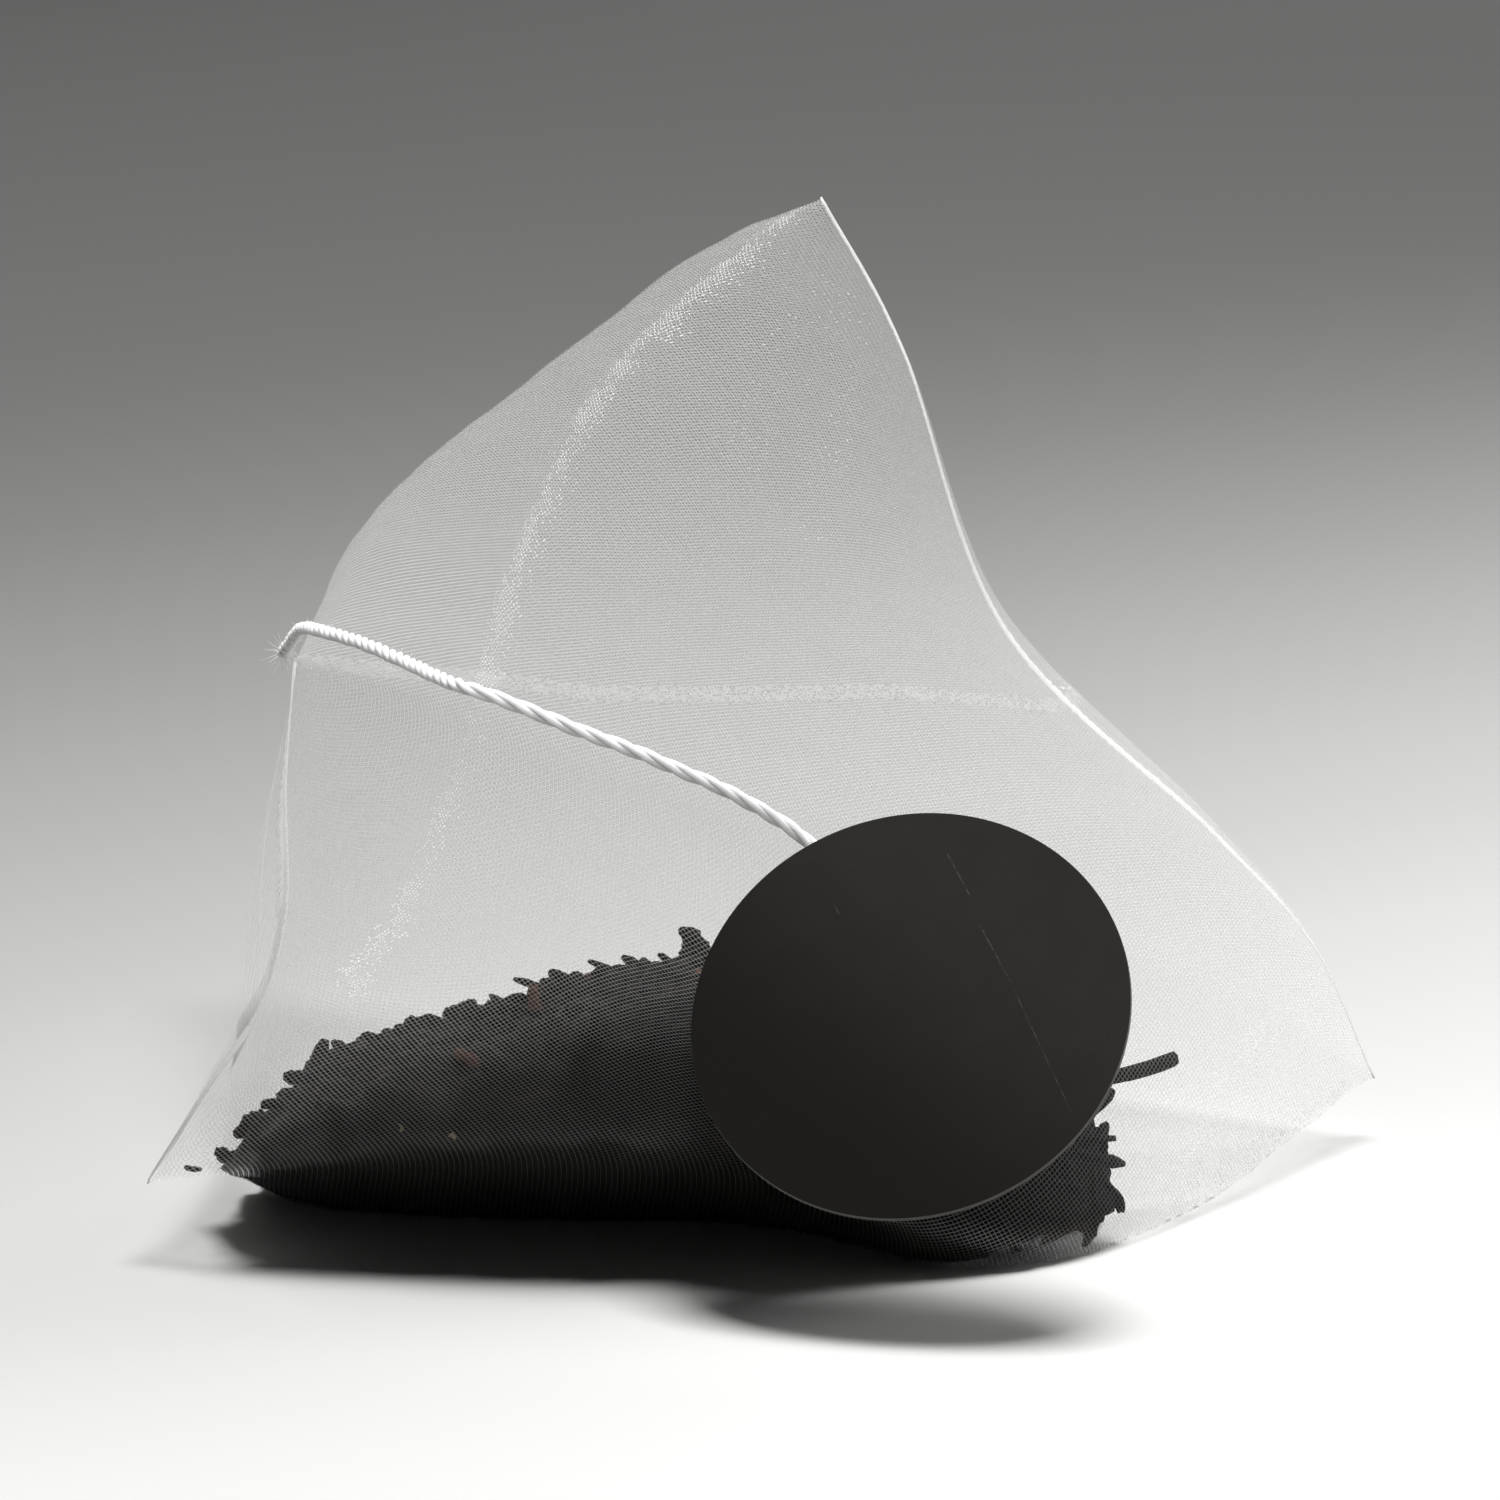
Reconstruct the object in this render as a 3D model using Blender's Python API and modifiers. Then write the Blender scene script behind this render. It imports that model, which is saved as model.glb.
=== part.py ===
"""A pyramid tea bag of woven nylon mesh, lying slumped on its tea, with its string and paper tag.

Metres, +Z up. The floor is z = 0, X runs along the front of the bag and +Y points to its back.
The origin is on the floor, in the middle of the bag.

The bag is one tube of mesh. One end is sealed flat from PEAK to HEEL, the other is sealed a quarter
turn round, from TAIL to BEAK, and four soft folds join the two seals. Every other piece takes its
place from the bag's walls.
"""
import math
import random

import bmesh
import bpy
import numpy as np
from mathutils import Matrix, Vector
from mathutils.bvhtree import BVHTree

# The bag's four corners: two on each seal
PEAK = (0.0041, 0.0120, 0.0598)
HEEL = (0.0379, 0.0285, 0.0036)
BEAK = (-0.0345, 0.0000, 0.0046)
TAIL = (-0.0293, 0.0630, 0.0226)

# How far the seals and folds leave a straight line: share of the way, and the offset there
PEAK_SEAL_BOW = ((0.15, (-0.0003, -0.0016, -0.0006)), (0.42, (-0.0034, -0.0020, -0.0026)),
                 (0.70, (-0.0003, -0.0008, -0.0002)), (0.85, (0.0010, -0.0002, 0.0006)))
TAIL_SEAL_BOW = ((0.25, (0.0016, -0.0002, -0.0004)), (0.50, (0.0038, -0.0006, -0.0001)),
                 (0.70, (0.0041, -0.0011, 0.0009)), (0.85, (0.0025, -0.0011, 0.0015)))
FRONT_FOLD_BOW = ((0.10, (-0.0019, -0.0010, 0.0018)), (0.25, (-0.0034, -0.0022, 0.0030)),
                  (0.42, (-0.0020, -0.0039, 0.0022)), (0.55, (0.0005, -0.0046, 0.0008)),
                  (0.70, (0.0028, -0.0046, -0.0008)), (0.85, (0.0012, -0.0027, -0.0002)))
LOWER_FOLD_BOW = ((0.13, (0.0037, -0.0066, -0.0018)), (0.25, (0.0067, -0.0126, -0.0034)),
                  (0.38, (0.0090, -0.0184, -0.0038)), (0.48, (0.0080, -0.0188, -0.0029)),
                  (0.60, (0.0069, -0.0161, 0.0021)), (0.75, (0.0041, -0.0113, 0.0031)),
                  (0.90, (0.0015, -0.0048, 0.0017)))
REAR_FOLD_BOW = ((0.50, (0.0011, 0.0026, -0.0010)),)
UPPER_FOLD_BOW = ((0.15, (-0.0011, 0.0005, 0.0020)), (0.40, (-0.0025, 0.0001, 0.0027)),
                  (0.70, (-0.0037, -0.0005, 0.0028)))

# How far each wall swells out of flat, and how soft the folds are
FRONT_SWELL = 0.0035
BELLY_SAG = 0.0238
BACK_SWELL = 0.0060
LEFT_SWELL = 0.0030
TAIL_LOBE = 0.0165
TAIL_LOBE_WAY = (-0.90, 0.10, -0.42)
TAIL_LOBE_FADE = 6
FOLD_SOFTNESS = 0.0018
SWELL_START = 0.35

# Samples along each stretch of a smooth curve, and along each seal and fold
CURVE_STEPS = 24
EDGE_SAMPLES = 201

# The mesh cloth, and the coarse gaps that stand for its fine weave
WALL = 0.0002
SEAL_BAND = 0.0012
SEAL_MOUTH = 0.0005
COLUMNS = 56
ROWS = 26
SOLID_ROWS = 1
GAP_EVERY_COLUMN = 4
GAP_FIRST_COLUMN = 2
GAP_EVERY_ROW = 3
GAP_FIRST_ROW = 1
GAP_RIM_SHARE = 0.25
FLOOR_BAND = 0.0004

# Touching pieces keep this much air between them, and the loose leaves a little more
CLEARANCE = 0.0003
LEAF_LIFT = 0.000345
LEAF_ROOM = 0.00075

# The tea heap: its middle, and its crest from the beak to the heel as (share of the way, height)
HEAP_MIDDLE = (0.45, 0.0100, 0.0050)
HEAP_CREST = ((0.00, 0.0030), (0.05, 0.0035), (0.08, 0.0080), (0.12, 0.0105), (0.18, 0.0122), (0.28, 0.0138),
              (0.37, 0.0162), (0.42, 0.0168), (0.60, 0.0158), (0.68, 0.0120), (0.73, 0.0070), (0.765, 0.0010))
HEAP_CREST_DEPTH = 0.0060
HEAP_FRONT_SLOPE = 0.15
HEAP_BACK_SLOPE = 0.55
HEAP_LUMP = 0.0005
HEAP_LUMP_SPANS = (0.0030, 0.0037, 0.0016, 0.0019)
HEAP_SPREAD = (1.8, 1.2)
HEAP_WALL_GAP = 0.0006
HEAP_STEPS = 50

# The loose leaves, which lie only where the heap isn't steep
LEAF_COUNT = 36
LEAF_LENGTH = (0.0036, 0.0064)
LEAF_RADIUS = (0.0004, 0.0007)
LEAF_SIDES = 5
LEAF_CUTS = (-0.25, 0.25)
LEAF_TAPER = 1.1
LEAF_FLATNESS = 0.8
LEAF_BEND = 0.9
LEAF_PITCH = 0.35
LEAF_TRIES = 4000
LEAF_SEED = 7
FLAT_ENOUGH = 0.35

# The string, with the length behind the tag wound into a flat coil
STRING_DIAMETER = 0.00075
COIL_INNER_RADIUS = 0.0031
COIL_OUTER_RADIUS = 0.0054
COIL_STEPS = 32
STRING_ROUTE = (
    (-0.0317, 0.0338, 0.0230), (-0.0310, 0.0290, 0.0246), (-0.0297, 0.0200, 0.0273), (-0.0279, 0.0095, 0.0292),
    (-0.0248, -0.0024, 0.0308), (-0.0218, -0.0130, 0.0318), (-0.0195, -0.0225, 0.0328), (-0.0179, -0.0276, 0.0333),
    (-0.0159, -0.0292, 0.0330), (-0.0125, -0.0297, 0.0317), (-0.0078, -0.0299, 0.0299), (-0.0031, -0.0294, 0.0277),
    (0.0004, -0.0287, 0.0255), (0.0023, -0.0290, 0.0237), (0.0029, -0.0308, 0.0216), (0.0030, -0.0326, 0.0199),
    (0.0029, -0.0336, 0.0187))
STRING_POINTS = 48

# The round paper tag, leaning back on the bag
TAG_DIAMETER = 0.0250
TAG_THICKNESS = 0.0004
TAG_NORMAL = (-0.204, -0.755, 0.623)
TAG_CENTRE = (0.0096, -0.0060, 0.0147)
TAG_SEGMENTS = 64
RIM_POINTS = 48


def new_collection(name):
    """A collection in the scene."""
    collection = bpy.data.collections.new(name)
    bpy.context.scene.collection.children.link(collection)
    return collection


def new_material(name, colour, roughness):
    """A plain material with a Principled BSDF."""
    material = bpy.data.materials.new(name)
    material.use_nodes = True
    shader = material.node_tree.nodes["Principled BSDF"]
    shader.inputs["Base Color"].default_value = (*colour, 1.0)
    shader.inputs["Roughness"].default_value = roughness
    shader.inputs["Metallic"].default_value = 0.0
    return material


def new_piece(name, mesh, material, collection):
    """One named sub-part with its own material."""
    piece = bpy.data.objects.new(name, mesh)
    mesh.materials.clear()
    mesh.materials.append(material)
    collection.objects.link(piece)
    return piece


def even_curve(knots, samples):
    """Points evenly spaced along a smooth (Catmull-Rom) curve through the knots."""
    knots = np.array(knots, float)
    framed = np.vstack([2 * knots[0] - knots[1], knots, 2 * knots[-1] - knots[-2]])
    t = np.linspace(0.0, 1.0, CURVE_STEPS, endpoint=False)[:, None]
    runs = [0.5 * (2 * b + (c - a) * t + (2 * a - 5 * b + 4 * c - d) * t ** 2
                   + (3 * b - a - 3 * c + d) * t ** 3)
            for a, b, c, d in zip(framed, framed[1:], framed[2:], framed[3:])]
    dense = np.vstack(runs + [knots[-1:]])
    along = np.r_[0.0, np.cumsum(np.linalg.norm(np.diff(dense, axis=0), axis=1))]
    even = np.linspace(0.0, along[-1], samples)
    return np.column_stack([np.interp(even, along, dense[:, axis]) for axis in range(3)])


def curve_length(curve):
    """The length of a line of points."""
    return np.linalg.norm(np.diff(curve, axis=0), axis=1).sum()


def bowed(start, end, bow):
    """A smooth curve from start to end that leaves the straight line by the given offsets."""
    inner = [start + share * (end - start) + np.array(offset) for share, offset in bow]
    return even_curve([start, *inner, end], EDGE_SAMPLES)


def at_share(curve, share):
    """The point a given share of the way along a finely sampled curve."""
    steps = np.linspace(0.0, 1.0, len(curve))
    return np.array([np.interp(share, steps, curve[:, axis]) for axis in range(3)])


def off_straight(curve, share):
    """How far a curve is from the straight line between its ends, a given share of the way along."""
    return at_share(curve, share) - (curve[0] + share * (curve[-1] - curve[0]))


def seal_rise(distance):
    """How fully a wall has swollen at a distance (0 to 1) from the seal it starts at."""
    return math.sqrt(math.sin(0.5 * math.pi * min(1.0, distance / SWELL_START)))


def outward_normal(middle, corners):
    """The unit normal of a wall through three corners, pointing out of the bag."""
    a, b, c = corners
    normal = np.cross(b - a, c - a)
    normal /= np.linalg.norm(normal)
    return normal * np.sign(np.dot(normal, (a + b + c) / 3 - middle))


def bag_edges():
    """The four folds in their order round the tube, then the seal at each of its ends."""
    peak, heel, beak, tail = (np.array(corner) for corner in (PEAK, HEEL, BEAK, TAIL))
    folds = (bowed(peak, beak, FRONT_FOLD_BOW), bowed(heel, beak, LOWER_FOLD_BOW),
             bowed(heel, tail, REAR_FOLD_BOW), bowed(peak, tail, UPPER_FOLD_BOW))
    return folds, bowed(peak, heel, PEAK_SEAL_BOW), bowed(tail, beak, TAIL_SEAL_BOW)


def wall_at(place, v):
    """Which wall (front, belly, back or left) a thread is in at a row, and its share of the way across."""
    fold_places = (0.25 * v, 0.5 - 0.25 * v, 0.5 + 0.25 * v, 1.0 - 0.25 * v, 1.0 + 0.25 * v)
    if place < fold_places[0]:
        place += 1.0
    for wall, (start, end) in enumerate(zip(fold_places, fold_places[1:])):
        if place <= end and end > start:
            return wall, (place - start) / (end - start)
    return 3, 1.0


def bag_skin(columns, rows):
    """The bag's outer skin: for each row along the tube, a ring of points round it.

    A ring is measured out on the flat cloth, so columns and rows run along its threads. Round the
    tube the walls come in the order front, belly, back, left. The front and back start as wide as
    the peak seal and narrow to nothing, and the belly and left wall widen to the tail seal.
    """
    folds, peak_seal, tail_seal = bag_edges()
    peak, heel, beak, tail = (np.array(corner) for corner in (PEAK, HEEL, BEAK, TAIL))
    middle = (peak + heel + beak + tail) / 4
    outward = [outward_normal(middle, corners)
               for corners in ((peak, beak, heel), (heel, beak, tail), (heel, tail, peak), (peak, tail, beak))]
    band = SEAL_BAND / curve_length(folds[0])
    shares = np.r_[0.0, np.linspace(band, 1.0 - band, rows - 1), 1.0]
    skin = np.zeros((rows + 1, columns, 3))
    for row, v in enumerate(shares):
        corners = [at_share(fold, v) for fold in folds]
        swells = (FRONT_SWELL * (1 - v) * seal_rise(v), BELLY_SAG * v * seal_rise(1 - v),
                  BACK_SWELL * (1 - v) * seal_rise(v), LEFT_SWELL * v * seal_rise(1 - v))
        lobe = TAIL_LOBE * seal_rise(1 - v) * v ** TAIL_LOBE_FADE * np.array(TAIL_LOBE_WAY)
        for column in range(columns):
            wall, share = wall_at(column / columns, v)
            first, last = corners[wall], corners[(wall + 1) % 4]
            hump = 4 * share * (1 - share)
            point = first + share * (last - first) + swells[wall] * hump * outward[wall]
            if wall == 1:
                point += lobe * hump
            if wall in (0, 2):
                point += off_straight(peak_seal, share if wall == 0 else 1 - share) * (1 - v) ** 2
            else:
                point += off_straight(tail_seal, share if wall == 3 else 1 - share) * v ** 2
            skin[row, column] = point
    skin = soften_folds(skin, shares, 2 * curve_length(peak_seal))
    part_the_seals(skin, peak_seal, tail_seal)
    skin[:, :, 2] = np.maximum(skin[:, :, 2], 0.0)
    return skin


def soften_folds(skin, shares, girth):
    """Round the folds by blurring each ring, less and less towards the two seals."""
    columns = skin.shape[1]
    offsets = np.arange(columns)
    offsets = np.minimum(offsets, columns - offsets) * girth / columns
    soft = skin.copy()
    for row, v in list(enumerate(shares))[1:-1]:
        reach = FOLD_SOFTNESS * math.sqrt(math.sin(math.pi * v))
        weights = np.exp(-0.5 * (offsets / reach) ** 2)
        weights /= weights.sum()
        for axis in range(3):
            blurred = np.fft.ifft(np.fft.fft(skin[row, :, axis]) * np.fft.fft(weights)).real
            soft[row, :, axis] = blurred
    eased = soft.copy()
    eased[2:-2] = 0.5 * soft[2:-2] + 0.25 * (soft[1:-3] + soft[3:-1])
    return eased


def part_the_seals(skin, peak_seal, tail_seal):
    """Press the two layers flat along each seal, and let them open into the bag just inside it."""
    rows, columns, _ = skin.shape
    for seal_row, step, seal, tip in ((0, 1, peak_seal, 0), (rows - 1, -1, tail_seal, columns // 4)):
        opening = skin[seal_row + 3 * step]
        along = seal[-1] - seal[0]
        for offset in range(1, columns // 2):
            one, other = (tip + offset) % columns, (tip - offset) % columns
            across = opening[one] - opening[other]
            across -= along * np.dot(across, along) / np.dot(along, along)
            across /= np.linalg.norm(across)
            for row, least in ((seal_row, 2 * WALL), (seal_row + step, 2 * WALL + SEAL_MOUTH)):
                apart = np.dot(skin[row, one] - skin[row, other], across)
                push = max(0.0, least - apart) / 2
                skin[row, one] += push * across
                skin[row, other] -= push * across


def skin_normals(skin):
    """The outward normal at every point of the skin."""
    round_way = np.roll(skin, -1, axis=1) - np.roll(skin, 1, axis=1)
    along_way = np.gradient(skin, axis=0)
    normals = np.cross(round_way, along_way)
    normals /= np.linalg.norm(normals, axis=2, keepdims=True)
    middle = skin.mean(axis=(0, 1))
    if np.sum(normals * (skin - middle)) < 0:
        normals = -normals
    return normals


def close_end(bm, ring, tip, outward):
    """Close a ring that a seal presses flat, by joining each point to the one across from it."""
    count = len(ring)
    half = count // 2
    for offset in range(half):
        corners = [ring[(tip + offset) % count], ring[(tip + offset + 1) % count],
                   ring[(tip - offset - 1) % count], ring[(tip - offset) % count]]
        corners = list(dict.fromkeys(corners))
        bm.faces.new(corners if outward else corners[::-1])


def gap_rim(bm, cell):
    """Frame a gap in one cell of the cloth and give back the gap's own corners."""
    centre = sum((vert.co for vert in cell), Vector()) / 4
    inner = [bm.verts.new(vert.co.lerp(centre, GAP_RIM_SHARE)) for vert in cell]
    for index in range(4):
        after = (index + 1) % 4
        bm.faces.new((cell[index], cell[after], inner[after], inner[index]))
    return inner


def bag_mesh(skin):
    """The bag's one closed body: outer and inner skins, fused seals, and gaps through the cloth."""
    lining = skin - WALL * skin_normals(skin)
    last = ROWS - SOLID_ROWS
    bm = bmesh.new()
    outer = [[bm.verts.new(point) for point in ring] for ring in skin]
    inner = {row: [bm.verts.new(point) for point in lining[row]] for row in range(SOLID_ROWS, last + 1)}
    for row in range(ROWS):
        for column in range(COLUMNS):
            after = (column + 1) % COLUMNS
            cell = [outer[row][column], outer[row][after], outer[row + 1][after], outer[row + 1][column]]
            if not SOLID_ROWS <= row < last:
                bm.faces.new(cell)
                continue
            back = [inner[row][column], inner[row][after], inner[row + 1][after], inner[row + 1][column]]
            woven = row % GAP_EVERY_ROW == GAP_FIRST_ROW and column % GAP_EVERY_COLUMN == GAP_FIRST_COLUMN
            resting = max(vert.co.z for vert in cell) < FLOOR_BAND
            if not woven or resting or row + 1 >= last:
                bm.faces.new(cell)
                bm.faces.new(back[::-1])
                continue
            mouth = gap_rim(bm, cell)
            back_mouth = gap_rim(bm, back)
            for index in range(4):
                step = (index + 1) % 4
                bm.faces.new((mouth[index], mouth[step], back_mouth[step], back_mouth[index]))
    close_end(bm, outer[0], 0, False)
    close_end(bm, outer[ROWS], COLUMNS // 4, True)
    close_end(bm, inner[SOLID_ROWS], 0, True)
    close_end(bm, inner[last], COLUMNS // 4, False)
    bmesh.ops.recalc_face_normals(bm, faces=bm.faces)
    mesh = bpy.data.meshes.new("mesh_bag")
    bm.to_mesh(mesh)
    bm.free()
    mesh.shade_smooth()
    return mesh, lining[SOLID_ROWS:last + 1]


def lining_tree(lining):
    """The bag's inner wall without its gaps, for placing the tea against."""
    rows, columns, _ = lining.shape
    points = [Vector(point) for point in lining.reshape(-1, 3)]
    faces = [(row * columns + column, row * columns + (column + 1) % columns,
              (row + 1) * columns + (column + 1) % columns, (row + 1) * columns + column)
             for row in range(rows - 1) for column in range(columns)]
    for tip, start in ((0, 0), (columns // 4, (rows - 1) * columns)):
        for offset in range(columns // 2):
            loop = [(tip + offset) % columns, (tip + offset + 1) % columns,
                    (tip - offset - 1) % columns, (tip - offset) % columns]
            faces.append(tuple(start + index for index in dict.fromkeys(loop)))
    return BVHTree.FromPolygons(points, faces)


def heap_top(x, y, shift):
    """The height of the tea's surface at a place on the floor."""
    share = (x - shift[0] - BEAK[0]) / (HEEL[0] - BEAK[0])
    shares, heights = zip(*HEAP_CREST)
    crest = np.interp(share, shares, heights)
    depth = y - shift[1] - BEAK[1] - HEAP_CREST_DEPTH
    slope = HEAP_BACK_SLOPE if depth > 0 else HEAP_FRONT_SLOPE
    broad_x, broad_y, fine_x, fine_y = (math.tau / span for span in HEAP_LUMP_SPANS)
    lumps = math.sin(x * broad_x) * math.cos(y * broad_y) + 0.6 * math.sin(x * fine_x + y * fine_y)
    return crest - slope * abs(depth) + HEAP_LUMP * lumps


def heap_middle(shift):
    """A point inside the tea, which its walls are measured from."""
    share, depth, height = HEAP_MIDDLE
    return Vector((BEAK[0] + share * (HEEL[0] - BEAK[0]) + shift[0], BEAK[1] + depth + shift[1], height))


def heap_mesh(tree, shift):
    """The packed tea under the loose leaves: a ball grown out to the walls and the heap's top."""
    middle = heap_middle(shift)
    bm = bmesh.new()
    bmesh.ops.create_icosphere(bm, subdivisions=4, radius=1.0)
    for vert in bm.verts:
        way = Vector((vert.co.x * HEAP_SPREAD[0], vert.co.y * HEAP_SPREAD[1], vert.co.z)).normalized()
        _, normal, _, reach = tree.ray_cast(middle, way)
        reach -= HEAP_WALL_GAP / max(0.25, abs(way.dot(normal)))
        for step in range(1, HEAP_STEPS + 1):
            place = middle + way * reach * step / HEAP_STEPS
            if place.z > heap_top(place.x, place.y, shift):
                reach *= (step - 1) / HEAP_STEPS
                break
        vert.co = middle + way * reach
    bmesh.ops.recalc_face_normals(bm, faces=bm.faces)
    mesh = bpy.data.meshes.new("tea_heap")
    bm.to_mesh(mesh)
    bm.free()
    return mesh


def leaf_mesh(name, length, radius, bend, place, turn):
    """One rolled tea leaf: a tapered rod, bent and laid along the X axis, then turned and placed."""
    bm = bmesh.new()
    bmesh.ops.create_cone(bm, cap_ends=True, segments=LEAF_SIDES, radius1=radius, radius2=radius, depth=length)
    for share in LEAF_CUTS:
        bmesh.ops.bisect_plane(bm, geom=bm.verts[:] + bm.edges[:] + bm.faces[:], dist=1e-7,
                               plane_co=(0, 0, share * length), plane_no=(0, 0, 1))
    for vert in bm.verts:
        along = vert.co.z / length
        girth = 1.0 - LEAF_TAPER * abs(along)
        vert.co = Vector((vert.co.z, vert.co.x * girth + bend * length * (along * along - 0.12),
                          vert.co.y * girth * LEAF_FLATNESS))
    bmesh.ops.rotate(bm, verts=bm.verts, matrix=turn)
    bmesh.ops.translate(bm, verts=bm.verts, vec=place)
    bmesh.ops.recalc_face_normals(bm, faces=bm.faces)
    mesh = bpy.data.meshes.new(name)
    bm.to_mesh(mesh)
    bm.free()
    return mesh


def seat_on_heap(mesh, heap_tree):
    """Lift a leaf until it lies just clear of the heap, and give back the lift."""
    sink = 0.0
    for vert in mesh.vertices:
        below = heap_tree.ray_cast(vert.co + Vector((0.0, 0.0, PEAK[2])), Vector((0.0, 0.0, -1.0)))[0]
        if below is not None:
            sink = max(sink, below.z - vert.co.z)
    lift = Vector((0.0, 0.0, sink + LEAF_LIFT))
    for vert in mesh.vertices:
        vert.co += lift
    return lift


def is_in_bag(tree, middle, corners):
    """True if every corner is inside the bag's walls and clear of them."""
    for corner in corners:
        way = middle - corner
        if tree.find_nearest(corner)[3] <= CLEARANCE:
            return False
        if tree.ray_cast(corner, way.normalized(), way.length)[0] is not None:
            return False
    return True


def loose_leaves(tree, heap, shift, material, collection):
    """Scatter the loose leaves over the heap, each resting on it and clear of the walls and the others."""
    heap_tree = BVHTree.FromPolygons([vert.co for vert in heap.vertices],
                                     [tuple(face.vertices) for face in heap.polygons])
    spots = [face for face in heap.polygons if face.normal.z > FLAT_ENOUGH]
    middle = heap_middle(shift)
    room = 2 * LEAF_RADIUS[1] + LEAF_ROOM
    rng = random.Random(LEAF_SEED)
    spines = []
    for _ in range(LEAF_TRIES):
        if len(spines) == LEAF_COUNT:
            break
        spot = rng.choice(spots)
        length, radius = rng.uniform(*LEAF_LENGTH), rng.uniform(*LEAF_RADIUS)
        pitch = rng.uniform(-LEAF_PITCH, LEAF_PITCH)
        turn = Matrix.Rotation(rng.uniform(0.0, math.tau), 3, "Z") @ Matrix.Rotation(pitch, 3, "Y")
        name = f"tea_leaf_{len(spines) + 1:02d}"
        mesh = leaf_mesh(name, length, radius, rng.uniform(-LEAF_BEND, LEAF_BEND), Vector(spot.center), turn)
        lift = seat_on_heap(mesh, heap_tree)
        spine = [Vector(spot.center) + lift + turn @ Vector((step * length, 0, 0))
                 for step in np.linspace(-0.5, 0.5, 7)]
        free = is_in_bag(tree, middle, [vert.co.copy() for vert in mesh.vertices])
        apart = all((point - other).length > room for others in spines for other in others for point in spine)
        if free and apart:
            new_piece(name, mesh, material, collection)
            spines.append(spine)
        else:
            bpy.data.meshes.remove(mesh)


def seat_slide(skin_tree, normal, points):
    """How far points must move along the normal for the nearest to lie just clear of the bag."""
    gaps = []
    for point in points:
        start = point + normal * TAG_DIAMETER
        hit = skin_tree.ray_cast(start, -normal)[0]
        if hit is not None:
            gaps.append((point - hit).dot(normal))
    return CLEARANCE - min(gaps)


def coil_ring(cotton, collection):
    """The coil's outer shape: a flat ring, turned from its section."""
    profile = bpy.data.meshes.new("string_coil")
    bm = bmesh.new()
    corners = [(COIL_OUTER_RADIUS, STRING_DIAMETER), (COIL_OUTER_RADIUS, 0.0),
               (COIL_INNER_RADIUS, 0.0), (COIL_INNER_RADIUS, STRING_DIAMETER)]
    loop = [bm.verts.new((radius, 0.0, height)) for radius, height in corners]
    for one, other in zip(loop, loop[1:] + loop[:1]):
        bm.edges.new((one, other))
    bm.to_mesh(profile)
    bm.free()
    coil = new_piece("string_coil", profile, cotton, collection)
    screw = coil.modifiers.new("turn", "SCREW")
    screw.steps = COIL_STEPS
    screw.render_steps = COIL_STEPS
    screw.use_merge_vertices = True
    screw.merge_threshold = 0.00001
    return coil


def tag_disc(paper, collection):
    """The round paper tag, flat and centred."""
    bm = bmesh.new()
    bmesh.ops.create_cone(bm, cap_ends=True, segments=TAG_SEGMENTS, radius1=0.5 * TAG_DIAMETER,
                          radius2=0.5 * TAG_DIAMETER, depth=TAG_THICKNESS)
    mesh = bpy.data.meshes.new("tag")
    bm.to_mesh(mesh)
    bm.free()
    return new_piece("tag", mesh, paper, collection)


def tag_and_coil(skin_tree, shift, paper, cotton, collection):
    """Lean the round tag on the bag, with the spare string coiled flat between them."""
    normal = Vector(TAG_NORMAL).normalized()
    turn = normal.to_track_quat("Z", "Y").to_matrix()
    seat = Vector(TAG_CENTRE) + Vector(shift)
    rim = [turn @ Vector((math.cos(angle), math.sin(angle), 0.0))
           for angle in np.linspace(0.0, math.tau, RIM_POINTS, False)]
    tag_back = STRING_DIAMETER + CLEARANCE
    points = [seat + COIL_OUTER_RADIUS * way for way in rim]
    points += [seat + 0.5 * TAG_DIAMETER * way + tag_back * normal for way in rim]
    seat += normal * seat_slide(skin_tree, normal, points)
    coil = coil_ring(cotton, collection)
    coil.matrix_world = Matrix.Translation(seat) @ turn.to_4x4()
    tag = tag_disc(paper, collection)
    tag.matrix_world = Matrix.Translation(seat + normal * (tag_back + 0.5 * TAG_THICKNESS)) @ turn.to_4x4()


def string_tube(cotton, collection):
    """The string from its weld at the tail to the coil behind the tag."""
    points = even_curve(STRING_ROUTE, STRING_POINTS)
    curve = bpy.data.curves.new("string", "CURVE")
    curve.dimensions = "3D"
    curve.bevel_depth = 0.5 * STRING_DIAMETER
    curve.bevel_resolution = 2
    curve.use_fill_caps = True
    spline = curve.splines.new("POLY")
    spline.points.add(len(points) - 1)
    for target, point in zip(spline.points, points):
        target.co = (*point, 1.0)
    string = bpy.data.objects.new("string", curve)
    curve.materials.append(cotton)
    collection.objects.link(string)


def main():
    """Empty the scene and model the bag, its tea, its tag and its string."""
    for old in list(bpy.data.objects):
        bpy.data.objects.remove(old, do_unlink=True)
    collection = new_collection("pyramid_tea_bag")
    nylon = new_material("nylon_mesh", (0.80, 0.80, 0.78), 0.40)
    leaf = new_material("black_tea", (0.022, 0.016, 0.013), 0.60)
    cotton = new_material("cotton_string", (0.90, 0.90, 0.88), 0.85)
    paper = new_material("black_paper", (0.030, 0.027, 0.026), 0.75)

    skin = bag_skin(COLUMNS, ROWS)
    low, high = skin.min(axis=(0, 1)), skin.max(axis=(0, 1))
    shift = np.array([-(low[0] + high[0]) / 2, -(low[1] + high[1]) / 2, 0.0])
    skin = skin + shift
    mesh, lining = bag_mesh(skin)
    new_piece("mesh_bag", mesh, nylon, collection)

    tree = lining_tree(lining)
    heap = heap_mesh(tree, shift)
    new_piece("tea_heap", heap, leaf, collection)
    loose_leaves(tree, heap, shift, leaf, collection)

    skin_tree = lining_tree(skin)
    tag_and_coil(skin_tree, shift, paper, cotton, collection)
    string_tube(cotton, collection)


main()
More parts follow.
